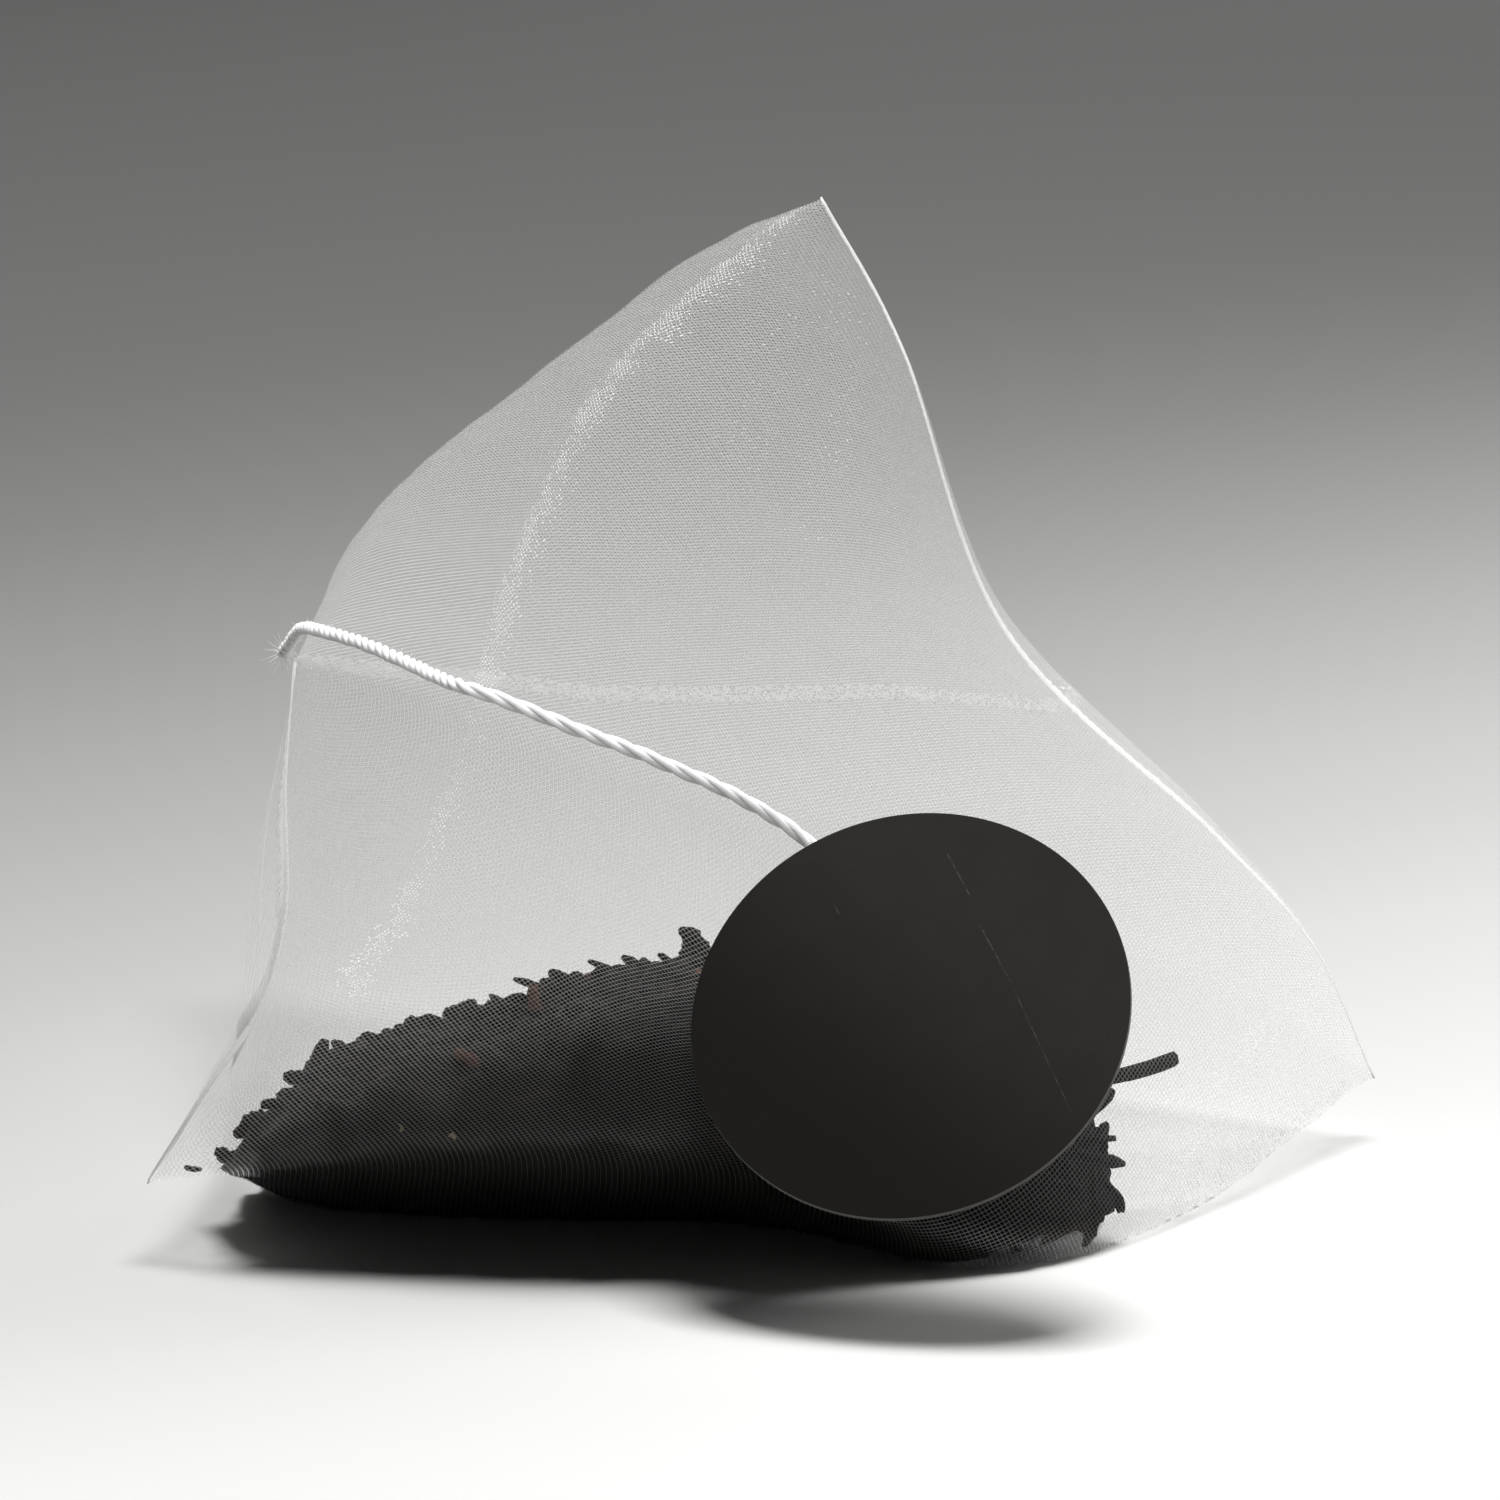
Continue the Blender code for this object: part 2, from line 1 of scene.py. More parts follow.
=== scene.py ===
# %% [markdown]
# # A pyramid tea bag, dressed over its frame
# A pyramid tea bag is one tube of woven nylon. One end is sealed flat, the other end is sealed a quarter
# turn round, and loose black tea lies in the tent between the two seals. A cotton string runs from one
# corner to a round paper tag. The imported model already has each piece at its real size, so this script
# only loads it as a frame and builds the visible pieces in the same place, in metres.

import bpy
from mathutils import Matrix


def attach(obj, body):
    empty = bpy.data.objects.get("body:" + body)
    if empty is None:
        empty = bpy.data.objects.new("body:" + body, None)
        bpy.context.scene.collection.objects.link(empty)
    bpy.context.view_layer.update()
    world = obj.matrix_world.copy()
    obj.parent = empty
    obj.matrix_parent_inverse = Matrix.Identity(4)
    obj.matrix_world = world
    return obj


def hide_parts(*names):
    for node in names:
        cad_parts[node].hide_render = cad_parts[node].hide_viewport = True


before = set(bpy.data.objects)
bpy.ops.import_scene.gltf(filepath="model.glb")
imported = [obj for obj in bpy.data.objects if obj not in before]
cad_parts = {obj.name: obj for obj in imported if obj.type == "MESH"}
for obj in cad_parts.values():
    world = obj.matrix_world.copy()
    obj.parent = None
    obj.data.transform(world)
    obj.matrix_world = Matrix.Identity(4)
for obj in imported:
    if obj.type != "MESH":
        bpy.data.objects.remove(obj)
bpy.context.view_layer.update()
print("CAD nodes:", len(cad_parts))

# %% Modules
import math
import random

import bmesh
import bpy
import numpy as np
from mathutils import Matrix, Vector, noise
from mathutils.bvhtree import BVHTree

BODY = "root"
MM = 0.001

# %% [markdown]
# The photograph looks at the bag from the front, 12 degrees above the floor, through a long lens. A long
# lens keeps near and far corners almost the same size. The camera comes first, and the string's route was
# measured against what it sees.

# %% Camera
CAMERA_PLACE = Vector((-0.0017, -0.47914, 0.12564))
CAMERA_TARGET = Vector((-0.0017, -0.02919, 0.0300))
LENS_MM = 195.4


def make_camera():
    """The camera at the photograph's angle, made the scene's own."""
    lens = bpy.data.cameras.new("camera")
    lens.lens = LENS_MM
    lens.sensor_width = 36.0
    lens.clip_start = 0.01
    lens.clip_end = 20.0
    camera = bpy.data.objects.new("camera", lens)
    camera.location = CAMERA_PLACE
    camera.rotation_euler = (CAMERA_TARGET - CAMERA_PLACE).to_track_quat("-Z", "Y").to_euler()
    bpy.context.scene.collection.objects.link(camera)
    bpy.context.scene.camera = camera
    return camera


print("camera:", make_camera().name, "lens", LENS_MM, "mm")

# %% [markdown]
# Materials here are small node trees. One helper makes a node and wires its inputs, and another does one
# step of arithmetic, so a recipe reads from top to bottom like a formula.

# %% Node helpers
def add_node(tree, kind, inputs=None, **settings):
    """A new node. Each input is given as a number, a colour or another node's output."""
    node = tree.nodes.new(kind)
    for name, value in settings.items():
        setattr(node, name, value)
    for key, value in (inputs or {}).items():
        if isinstance(value, bpy.types.NodeSocket):
            tree.links.new(value, node.inputs[key])
        else:
            node.inputs[key].default_value = value
    return node


def calc(tree, operation, *terms):
    """One step of arithmetic, as a Math node's output."""
    return add_node(tree, "ShaderNodeMath", dict(enumerate(terms)), operation=operation).outputs[0]


def ease(tree, value, start, end, low=0.0, high=1.0):
    """A smooth step from low to high as the value goes from start to end."""
    inputs = {"Value": value, "From Min": start, "From Max": end, "To Min": low, "To Max": high}
    return add_node(tree, "ShaderNodeMapRange", inputs, interpolation_type="SMOOTHSTEP").outputs[0]


def blend_colours(tree, share, one, other):
    """A colour between two colours."""
    inputs = {0: share, 6: one, 7: other}
    return add_node(tree, "ShaderNodeMix", inputs, data_type="RGBA").outputs[2]


def speckle(tree, place, scale, detail=2.0, roughness=0.5):
    """Soft noise from 0 to 1 at a place."""
    inputs = {"Vector": place, "Scale": scale, "Detail": detail, "Roughness": roughness}
    return add_node(tree, "ShaderNodeTexNoise", inputs).outputs["Fac"]


def new_material(name):
    """An empty material with its output, ready for a recipe."""
    material = bpy.data.materials.new(name)
    material.use_nodes = True
    tree = material.node_tree
    tree.nodes.clear()
    output = add_node(tree, "ShaderNodeOutputMaterial")
    return material, tree, output.inputs["Surface"]


print("node helpers ready")

# %% [markdown]
# The backdrop is one pale floor that runs far back and falls off to grey, which is how a table lit from
# above looks through a long lens. The fall-off is a colour ramp along the floor's depth, so it needs no
# light of its own. A lamp fades over such a distance too, but a ramp is easier to steer. The camera sees the
# floor at its full tone, and the light that the floor throws back up is held lower. The floor lies a hair
# under the cloth, because the camera sees between two surfaces that share a plane.

# %% Floor and backdrop
FLOOR_HALF = 3.0
# Painted light fall-off: the floor's colour is painted darker with depth, and FLOOR_SLANT paints its right side
# lighter.
FLOOR_PAINTED_FALLOFF = ((-0.10, 0.90), (-0.05, 0.87), (-0.015, 0.695), (0.034, 0.555), (0.065, 0.49), (0.112, 0.40),
               (0.17, 0.305), (0.24, 0.22), (0.34, 0.165), (0.60, 0.22))
FLOOR_SLANT = -0.6
FLOOR_BOUNCE = 0.50
FLOOR_SINK = 0.00004


def seen_directly(tree):
    """1 for what the camera, a reflection or clear plastic sees, and 0 for light on its way to a surface."""
    path = add_node(tree, "ShaderNodeLightPath")
    mirrored = calc(tree, "MAXIMUM", path.outputs["Is Glossy Ray"], path.outputs["Is Transmission Ray"])
    return calc(tree, "MAXIMUM", path.outputs["Is Camera Ray"], mirrored)


def make_floor():
    """A wide pale floor with painted light fall-off: its colour is painted greyer with depth and lighter to the
    right.
    """
    bm = bmesh.new()
    bmesh.ops.create_grid(bm, x_segments=1, y_segments=1, size=FLOOR_HALF)
    bmesh.ops.translate(bm, verts=bm.verts, vec=(0.0, 0.0, -FLOOR_SINK))
    mesh = bpy.data.meshes.new("floor")
    bm.to_mesh(mesh)
    bm.free()
    floor = bpy.data.objects.new("floor", mesh)
    bpy.context.scene.collection.objects.link(floor)
    material, tree, surface = new_material("pale_floor")
    place = add_node(tree, "ShaderNodeTexCoord").outputs["Object"]
    depth = add_node(tree, "ShaderNodeVectorMath", {0: place, 1: (FLOOR_SLANT, 1.0, 0.0)},
                     operation="DOT_PRODUCT").outputs["Value"]
    first, last = FLOOR_PAINTED_FALLOFF[0][0], FLOOR_PAINTED_FALLOFF[-1][0]
    share = add_node(tree, "ShaderNodeMapRange",
                     {"Value": depth, "From Min": first, "From Max": last}).outputs[0]
    ramp = add_node(tree, "ShaderNodeValToRGB", {"Fac": share})
    ramp.color_ramp.interpolation = "B_SPLINE"
    stops = ramp.color_ramp.elements
    while len(stops) < len(FLOOR_PAINTED_FALLOFF):
        stops.new(0.5)
    for stop, (at, tone) in zip(stops, FLOOR_PAINTED_FALLOFF):
        stop.position = (at - first) / (last - first)
        stop.color = (tone, tone, tone * 0.985, 1.0)
    lit = ease(tree, seen_directly(tree), 0.0, 1.0, FLOOR_BOUNCE, 1.0)
    colour = blend_colours(tree, lit, (0.0, 0.0, 0.0, 1.0), ramp.outputs[0])
    shader = add_node(tree, "ShaderNodeBsdfPrincipled", {"Base Color": colour, "Roughness": 0.9,
                                                         "Specular IOR Level": 0.1})
    tree.links.new(shader.outputs[0], surface)
    mesh.materials.append(material)
    return floor


print("floor:", make_floor().name, FLOOR_HALF * 2, "m wide")

# %% [markdown]
# One soft lamp hangs above and a little behind the bag. It drops the shadow under the belly and keeps the
# tag readable. Two wide lamps behind light the cloth from its far side, so the threads glow while the tea
# stays dark. One of them is low at the right, where the photograph is brightest. A fill lamp in front
# lights only the string and the cloth, so the shadow stays as deep as it is in the photograph.

# %% Lamps and world
LAMPS = (("softbox_above", (0.06, 0.04, 0.60), 0.24, 4.2), ("backlight", (0.25, 0.62, 0.30), 0.70, 0.85),
         ("backlight_low", (0.26, 0.14, 0.09), 0.16, 0.40), ("front_fill", (-0.08, -0.34, 0.48), 0.35, 2.2))
LAMP_TARGET = Vector((0.0, 0.0, 0.02))
WORLD_LIGHT = 0.010
WORLD_SEEN = 0.70


def make_lamp(name, place, size, power):
    """A square soft lamp at a place, turned to the bag."""
    light = bpy.data.lights.new(name, "AREA")
    light.shape = "SQUARE"
    light.size = size
    light.energy = power
    lamp = bpy.data.objects.new(name, light)
    lamp.location = place
    lamp.rotation_euler = (LAMP_TARGET - Vector(place)).to_track_quat("-Z", "Y").to_euler()
    bpy.context.scene.collection.objects.link(lamp)
    return lamp


def light_only(lamp, *lit):
    """Keep a lamp's light to a few objects."""
    group = bpy.data.collections.new(lamp.name + "_lights")
    for thing in lit:
        group.objects.link(thing)
    lamp.light_linking.receiver_collection = group


def make_world():
    """A dim world for the light, and a paler one for what is seen directly."""
    world = bpy.data.worlds.new("studio")
    world.use_nodes = True
    tree = world.node_tree
    backdrop = tree.nodes["Background"]
    backdrop.inputs["Color"].default_value = (1.0, 1.0, 1.0, 1.0)
    strength = ease(tree, seen_directly(tree), 0.0, 1.0, WORLD_LIGHT, WORLD_SEEN)
    tree.links.new(strength, backdrop.inputs["Strength"])
    bpy.context.scene.world = world
    bpy.context.scene.view_settings.view_transform = "Standard"


make_world()
lamps = [make_lamp(*lamp) for lamp in LAMPS]
print("lamps:", [lamp.name for lamp in lamps])

# %% [markdown]
# The string is cotton, about 0.75 mm thick and 15 cm long. It is welded on the tail corner, hangs across
# the front of the bag and ends glued in a small flat coil behind the tag. Its route is a list of given points,
# and a smooth curve is read through them. The coil's turns follow a formula.

# %% Smooth curves
CURVE_STEPS = 24


def even_curve(knots, samples):
    """Points evenly spaced along a smooth (Catmull-Rom) curve through the knots."""
    knots = np.array(knots, float)
    framed = np.vstack([2 * knots[0] - knots[1], knots, 2 * knots[-1] - knots[-2]])
    t = np.linspace(0.0, 1.0, CURVE_STEPS, endpoint=False)[:, None]
    runs = [0.5 * (2 * b + (c - a) * t + (2 * a - 5 * b + 4 * c - d) * t ** 2
                   + (3 * b - a - 3 * c + d) * t ** 3)
            for a, b, c, d in zip(framed, framed[1:], framed[2:], framed[3:])]
    dense = np.vstack(runs + [knots[-1:]])
    along = np.r_[0.0, np.cumsum(np.linalg.norm(np.diff(dense, axis=0), axis=1))]
    even = np.linspace(0.0, along[-1], samples)
    return np.column_stack([np.interp(even, along, dense[:, axis]) for axis in range(knots.shape[1])])


def curve_length(curve):
    """The length of a line of points."""
    return np.linalg.norm(np.diff(curve, axis=0), axis=1).sum()


print("smooth curves ready")

# %% String route
STRING_DIAMETER = 0.00075
STRING_ROUTE = (
    (-0.0317, 0.0338, 0.0230), (-0.0310, 0.0290, 0.0246), (-0.0297, 0.0200, 0.0273), (-0.0279, 0.0095, 0.0292),
    (-0.0248, -0.0024, 0.0308), (-0.0218, -0.0130, 0.0318), (-0.0195, -0.0225, 0.0328), (-0.0179, -0.0276, 0.0333),
    (-0.0159, -0.0292, 0.0330), (-0.0125, -0.0297, 0.0317), (-0.0078, -0.0299, 0.0299), (-0.0031, -0.0294, 0.0277),
    (0.0004, -0.0287, 0.0255), (0.0023, -0.0290, 0.0237), (0.0029, -0.0308, 0.0216), (0.0030, -0.0326, 0.0199),
    (0.0029, -0.0336, 0.0187))
TAG_NORMAL = Vector((-0.204, -0.755, 0.623)).normalized()
TAG_TURN = TAG_NORMAL.to_track_quat("Z", "Y").to_matrix()
COIL_START_RADIUS = 0.0050
COIL_TURNS = 2
COIL_POINTS = 32


def node_middle(name):
    """The mean of a CAD node's corners."""
    corners = [vert.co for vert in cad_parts[name].data.vertices]
    return sum(corners, Vector()) / len(corners)


def coil_line():
    """The spare string as a flat spiral behind the tag, from its outer turn inwards."""
    middle = node_middle("string_coil")
    points = []
    for step in range(COIL_TURNS * COIL_POINTS + 1):
        turns = step / COIL_POINTS
        angle = math.pi + turns * math.tau
        radius = COIL_START_RADIUS - turns * STRING_DIAMETER
        points.append(middle + TAG_TURN @ Vector((radius * math.cos(angle), radius * math.sin(angle), 0.0)))
    return points


def string_line():
    """The string's centreline, from its weld at the tail to its end behind the tag."""
    knots = [Vector(point) for point in STRING_ROUTE] + coil_line()
    return even_curve(knots, 640)


string_path = string_line()
string_length = curve_length(string_path)
print("string length in mm:", round(string_length * 1000, 1))

# %% [markdown]
# Up close a cotton string is three soft plies laid round each other, with loose fibres standing off. Each
# ply is a curve wound round the centreline as a helix and given a round section, which is the quickest way
# to a rope. A frame that never twists is carried along the centreline first, so that the plies' own turns
# are the only ones.

# %% Plies and fibres
PLIES = 3
PLY_RADIUS = 0.00022
PLY_OFFSET = 0.00020
LAY_LENGTH = 0.0054
FIBRES = 520
FRAYED_FIBRES = 46
FIBRE_RADIUS = 0.000011


def carried_frames(line):
    """Two directions across the line at each point, carried along it without a twist of their own."""
    ways = np.gradient(line, axis=0)
    ways /= np.linalg.norm(ways, axis=1, keepdims=True)
    side = np.cross(ways[0], (0.0, 0.0, 1.0))
    sides = []
    for way in ways:
        side = side - way * np.dot(side, way)
        side = side / np.linalg.norm(side)
        sides.append(side)
    sides = np.array(sides)
    return sides, np.cross(ways, sides)


def round_curve(name, lines, radius, resolution, taper=None):
    """A mesh of round tubes along several lines."""
    data = bpy.data.curves.new(name, "CURVE")
    data.dimensions = "3D"
    data.bevel_depth = radius
    data.bevel_resolution = resolution
    data.use_fill_caps = True
    for line in lines:
        spline = data.splines.new("POLY")
        spline.points.add(len(line) - 1)
        for index, point in enumerate(line):
            spline.points[index].co = (*point, 1.0)
            spline.points[index].radius = 1.0 if taper is None else taper(index / (len(line) - 1))
    holder = bpy.data.objects.new(name, data)
    mesh = bpy.data.meshes.new_from_object(holder)
    bpy.data.objects.remove(holder)
    bpy.data.curves.remove(data)
    return mesh


def ply_lines(line):
    """The plies, as helices round the line."""
    sides, ups = carried_frames(line)
    along = np.linspace(0.0, curve_length(line), len(line))
    lines = []
    for ply in range(PLIES):
        angle = along / LAY_LENGTH * math.tau + ply * math.tau / PLIES
        swell = PLY_OFFSET * (1.0 + 0.10 * np.sin(along * 2300.0 + 2.0 * ply))
        lines.append(line + sides * (swell * np.cos(angle))[:, None] + ups * (swell * np.sin(angle))[:, None])
    return lines


def fibre_lines(line, rng):
    """Loose fibres along the string, and a frayed tuft where it starts."""
    sides, ups = carried_frames(line)
    ways = np.gradient(line, axis=0)
    ways /= np.linalg.norm(ways, axis=1, keepdims=True)
    fibres = []
    for number in range(FIBRES + FRAYED_FIBRES):
        frayed = number >= FIBRES
        spot = rng.randrange(0, 6) if frayed else rng.randrange(len(line))
        angle = rng.uniform(0.0, math.tau)
        out = sides[spot] * math.cos(angle) + ups[spot] * math.sin(angle)
        lean = -ways[spot] * rng.uniform(0.5, 1.5) if frayed else ways[spot] * rng.uniform(-1.6, 1.6)
        reach = rng.uniform(0.0004, 0.0012) if frayed else rng.uniform(0.00012, 0.00045)
        start = line[spot] + out * STRING_DIAMETER * 0.36
        droop = rng.uniform(-0.5, 0.5)
        fibres.append([start + (out * step + lean * step + sides[spot] * droop * step * step) * reach
                       for step in (0.0, 0.35, 0.7, 1.0)])
    return fibres


def join_meshes(name, meshes):
    """One object at the origin that holds several meshes."""
    bm = bmesh.new()
    for mesh in meshes:
        bm.from_mesh(mesh)
        bpy.data.meshes.remove(mesh)
    joined = bpy.data.meshes.new(name)
    bm.to_mesh(joined)
    bm.free()
    piece = bpy.data.objects.new(name, joined)
    bpy.context.scene.collection.objects.link(piece)
    return piece


plies = round_curve("plies", ply_lines(string_path), PLY_RADIUS, 2)
fibres = round_curve("fibres", fibre_lines(string_path, random.Random(3)), FIBRE_RADIUS, 0,
                     taper=lambda share: 1.0 - 0.7 * share)
cotton_string = join_meshes("cotton_string", [plies, fibres])
cotton_string.data.shade_smooth()
print("string triangles:", sum(len(face.vertices) - 2 for face in cotton_string.data.polygons))

# %% Cotton finish
def cotton_material():
    """Soft white cotton, with fine fibres and a little light passing through it."""
    material, tree, surface = new_material("white_cotton")
    place = add_node(tree, "ShaderNodeTexCoord").outputs["Object"]
    fine = speckle(tree, place, 9000.0, 3.0, 0.7)
    broad = speckle(tree, place, 700.0)
    shade = calc(tree, "ADD", calc(tree, "MULTIPLY", fine, 0.5), calc(tree, "MULTIPLY", broad, 0.5))
    colour = blend_colours(tree, shade, (0.90, 0.895, 0.87, 1.0), (0.99, 0.99, 0.975, 1.0))
    bump = add_node(tree, "ShaderNodeBump", {"Strength": 0.5, "Distance": 0.00006, "Height": fine})
    shader = add_node(tree, "ShaderNodeBsdfPrincipled", {
        "Base Color": colour, "Roughness": 0.85, "Normal": bump.outputs[0], "Sheen Weight": 0.35,
        "Specular IOR Level": 0.25, "Subsurface Weight": 0.85, "Subsurface Scale": 0.0007,
        "Subsurface Radius": (1.0, 1.0, 1.0)})
    tree.links.new(shader.outputs[0], surface)
    return material


cotton_string.data.materials.append(cotton_material())
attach(cotton_string, BODY)
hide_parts("string", "string_coil")

# %% [markdown]
# The bag's cloth is the heart of the piece. The real cloth is flat before it is sealed, so a flat grid is
# made whose columns and rows run along its threads, and each grid point is then moved to its place on the
# sealed bag. The weave can then be drawn on the flat grid, and it bends with the cloth as a real one does.

# %% Corners, seals and folds
PEAK = (0.0041, 0.0120, 0.0598)
HEEL = (0.0379, 0.0285, 0.0036)
BEAK = (-0.0345, 0.0000, 0.0046)
TAIL = (-0.0293, 0.0630, 0.0226)
PEAK_SEAL_BOW = ((0.15, (-0.0003, -0.0016, -0.0006)), (0.42, (-0.0034, -0.0020, -0.0026)),
                 (0.70, (-0.0003, -0.0008, -0.0002)), (0.85, (0.0010, -0.0002, 0.0006)))
TAIL_SEAL_BOW = ((0.25, (0.0016, -0.0002, -0.0004)), (0.50, (0.0038, -0.0006, -0.0001)),
                 (0.70, (0.0041, -0.0011, 0.0009)), (0.85, (0.0025, -0.0011, 0.0015)))
FRONT_FOLD_BOW = ((0.10, (-0.0019, -0.0010, 0.0018)), (0.25, (-0.0034, -0.0022, 0.0030)),
                  (0.42, (-0.0020, -0.0039, 0.0022)), (0.55, (0.0005, -0.0046, 0.0008)),
                  (0.70, (0.0028, -0.0046, -0.0008)), (0.85, (0.0012, -0.0027, -0.0002)))
LOWER_FOLD_BOW = ((0.13, (0.0037, -0.0066, -0.0018)), (0.25, (0.0067, -0.0126, -0.0034)),
                  (0.38, (0.0090, -0.0184, -0.0038)), (0.48, (0.0080, -0.0188, -0.0029)),
                  (0.60, (0.0069, -0.0161, 0.0021)), (0.75, (0.0041, -0.0113, 0.0031)),
                  (0.90, (0.0015, -0.0048, 0.0017)))
REAR_FOLD_BOW = ((0.50, (0.0011, 0.0026, -0.0010)),)
UPPER_FOLD_BOW = ((0.15, (-0.0011, 0.0005, 0.0020)), (0.40, (-0.0025, 0.0001, 0.0027)),
                  (0.70, (-0.0037, -0.0005, 0.0028)))
FRAME_SHIFT = np.array((-0.0017, -0.0291936, 0.0))
EDGE_SAMPLES = 201


def bowed(start, end, bow):
    """A smooth curve from start to end that leaves the straight line by the given offsets."""
    inner = [start + share * (end - start) + np.array(offset) for share, offset in bow]
    return even_curve([start, *inner, end], EDGE_SAMPLES)


def at_share(curve, share):
    """The point a given share of the way along a finely sampled curve."""
    steps = np.linspace(0.0, 1.0, len(curve))
    return np.array([np.interp(share, steps, curve[:, axis]) for axis in range(curve.shape[1])])


def off_straight(curve, share):
    """How far a curve is from the straight line between its ends, a given share of the way along."""
    return at_share(curve, share) - (curve[0] + share * (curve[-1] - curve[0]))


peak, heel, beak, tail = (np.array(corner) + FRAME_SHIFT for corner in (PEAK, HEEL, BEAK, TAIL))
folds = (bowed(peak, beak, FRONT_FOLD_BOW), bowed(heel, beak, LOWER_FOLD_BOW),
         bowed(heel, tail, REAR_FOLD_BOW), bowed(peak, tail, UPPER_FOLD_BOW))
peak_seal = bowed(peak, heel, PEAK_SEAL_BOW)
tail_seal = bowed(tail, beak, TAIL_SEAL_BOW)
TUBE_LENGTH = 0.074
GIRTH = 0.132
print("seals in mm:", [round(curve_length(seal) * 1000, 1) for seal in (peak_seal, tail_seal)])

# %% Swelling of the four walls
FRONT_SWELL = 0.0035
BELLY_SAG = 0.0238
BACK_SWELL = 0.0060
LEFT_SWELL = 0.0030
TAIL_LOBE = 0.0165
TAIL_LOBE_WAY = np.array((-0.90, 0.10, -0.42))
TAIL_LOBE_FADE = 6
SWELL_START = 0.35


def outward_normal(corners):
    """The unit normal of a wall through three corners, pointing out of the bag."""
    a, b, c = corners
    normal = np.cross(b - a, c - a)
    normal /= np.linalg.norm(normal)
    middle = (peak + heel + beak + tail) / 4
    return normal * np.sign(np.dot(normal, (a + b + c) / 3 - middle))


def seal_rise(distance):
    """How fully a wall has swollen at a distance (0 to 1) from the seal it starts at."""
    return math.sqrt(math.sin(0.5 * math.pi * min(1.0, distance / SWELL_START)))


def wall_at(place, v):
    """Which wall (front, belly, back or left) a thread is in at a row, and its share of the way across."""
    fold_places = (0.25 * v, 0.5 - 0.25 * v, 0.5 + 0.25 * v, 1.0 - 0.25 * v, 1.0 + 0.25 * v)
    if place < fold_places[0]:
        place += 1.0
    for wall, (start, end) in enumerate(zip(fold_places, fold_places[1:])):
        if place <= end and end > start:
            return wall, (place - start) / (end - start)
    return 3, 1.0


WALLS_OUT = [outward_normal(corners) for corners in
             ((peak, beak, heel), (heel, beak, tail), (heel, tail, peak), (peak, tail, beak))]


def wall_point(place, v):
    """Where a point of the flat cloth lies on the bag, before its folds are softened."""
    corners = [at_share(fold, v) for fold in folds]
    wall, share = wall_at(place, v)
    first, last = corners[wall], corners[(wall + 1) % 4]
    hump = 4 * share * (1 - share)
    near_peak = (1 - v) * seal_rise(v)
    near_tail = v * seal_rise(1 - v)
    swells = (FRONT_SWELL * near_peak, BELLY_SAG * near_tail, BACK_SWELL * near_peak, LEFT_SWELL * near_tail)
    swell = swells[wall]
    point = first + share * (last - first) + swell * hump * WALLS_OUT[wall]
    if wall == 1:
        point += TAIL_LOBE * seal_rise(1 - v) * v ** TAIL_LOBE_FADE * TAIL_LOBE_WAY * hump
    if wall in (0, 2):
        return point + off_straight(peak_seal, share if wall == 0 else 1 - share) * (1 - v) ** 2
    return point + off_straight(tail_seal, share if wall == 3 else 1 - share) * v ** 2


print("walls face:", [np.round(out, 2).tolist() for out in WALLS_OUT])

# %% Flat cloth to sealed bag
COLUMNS = 280
ROWS = 140
FOLD_SOFTNESS = 0.0017
ROW_SOFTNESS = 0.0012
CLOTH = 0.00006
SEAL_GAP = 0.00020
SEAL_BAND = 0.0012


def blurred(values, weights):
    """Each ring of values, blurred round the tube."""
    return np.fft.ifft(np.fft.fft(values, axis=0) * np.fft.fft(weights)[:, None], axis=0).real


def soften(skin, shares):
    """Round the folds, less and less towards the two seals."""
    offsets = np.arange(COLUMNS)
    offsets = np.minimum(offsets, COLUMNS - offsets) * GIRTH / COLUMNS
    for row in range(1, ROWS):
        reach = FOLD_SOFTNESS * math.sqrt(math.sin(math.pi * shares[row]))
        weights = np.exp(-0.5 * (offsets / reach) ** 2)
        skin[row] = blurred(skin[row], weights / weights.sum())
    eased = skin.copy()
    for row in range(1, ROWS):
        room = min(row, ROWS - row)
        reach = ROW_SOFTNESS / TUBE_LENGTH * ROWS * min(1.0, room / 8)
        steps = np.arange(-room, room + 1)
        weights = np.exp(-0.5 * (steps / max(reach, 0.01)) ** 2)
        eased[row] = np.tensordot(weights / weights.sum(), skin[row - room:row + room + 1], axes=1)
    return eased


SEAL_ROWS = 8


def press_seals(skin, shares):
    """Keep the two layers at each seal just apart, and let them open further in."""
    ends = ((peak_seal, 1, 0, range(0, SEAL_ROWS)),
            (tail_seal, -1, COLUMNS // 4, range(ROWS, ROWS - SEAL_ROWS, -1)))
    for seal, step, tip, rows in ends:
        along = seal[-1] - seal[0]
        opening = skin[rows[0] + 9 * step]
        for offset in range(1, COLUMNS // 2):
            one, other = (tip + offset) % COLUMNS, (tip - offset) % COLUMNS
            across = opening[one] - opening[other]
            across -= along * np.dot(across, along) / np.dot(along, along)
            across /= np.linalg.norm(across)
            for row in rows:
                inside = abs(row - rows[0]) * TUBE_LENGTH / ROWS
                least = SEAL_GAP + 0.35 * max(0.0, inside - 0.5 * SEAL_BAND)
                push = max(0.0, least - np.dot(skin[row, one] - skin[row, other], across)) / 2
                skin[row, one] += push * across
                skin[row, other] -= push * across


def bag_skin():
    """The bag's outer skin: for each row along the tube, a ring of points round it."""
    shares = np.linspace(0.0, 1.0, ROWS + 1)
    skin = np.array([[wall_point(column / COLUMNS, v) for column in range(COLUMNS)] for v in shares])
    skin = soften(skin, shares)
    press_seals(skin, shares)
    skin[:, :, 2] = np.maximum(skin[:, :, 2], 0.0)
    return skin


skin = bag_skin()
print("bag in mm:", np.round((skin.max(axis=(0, 1)) - skin.min(axis=(0, 1))) * 1000, 1).tolist())
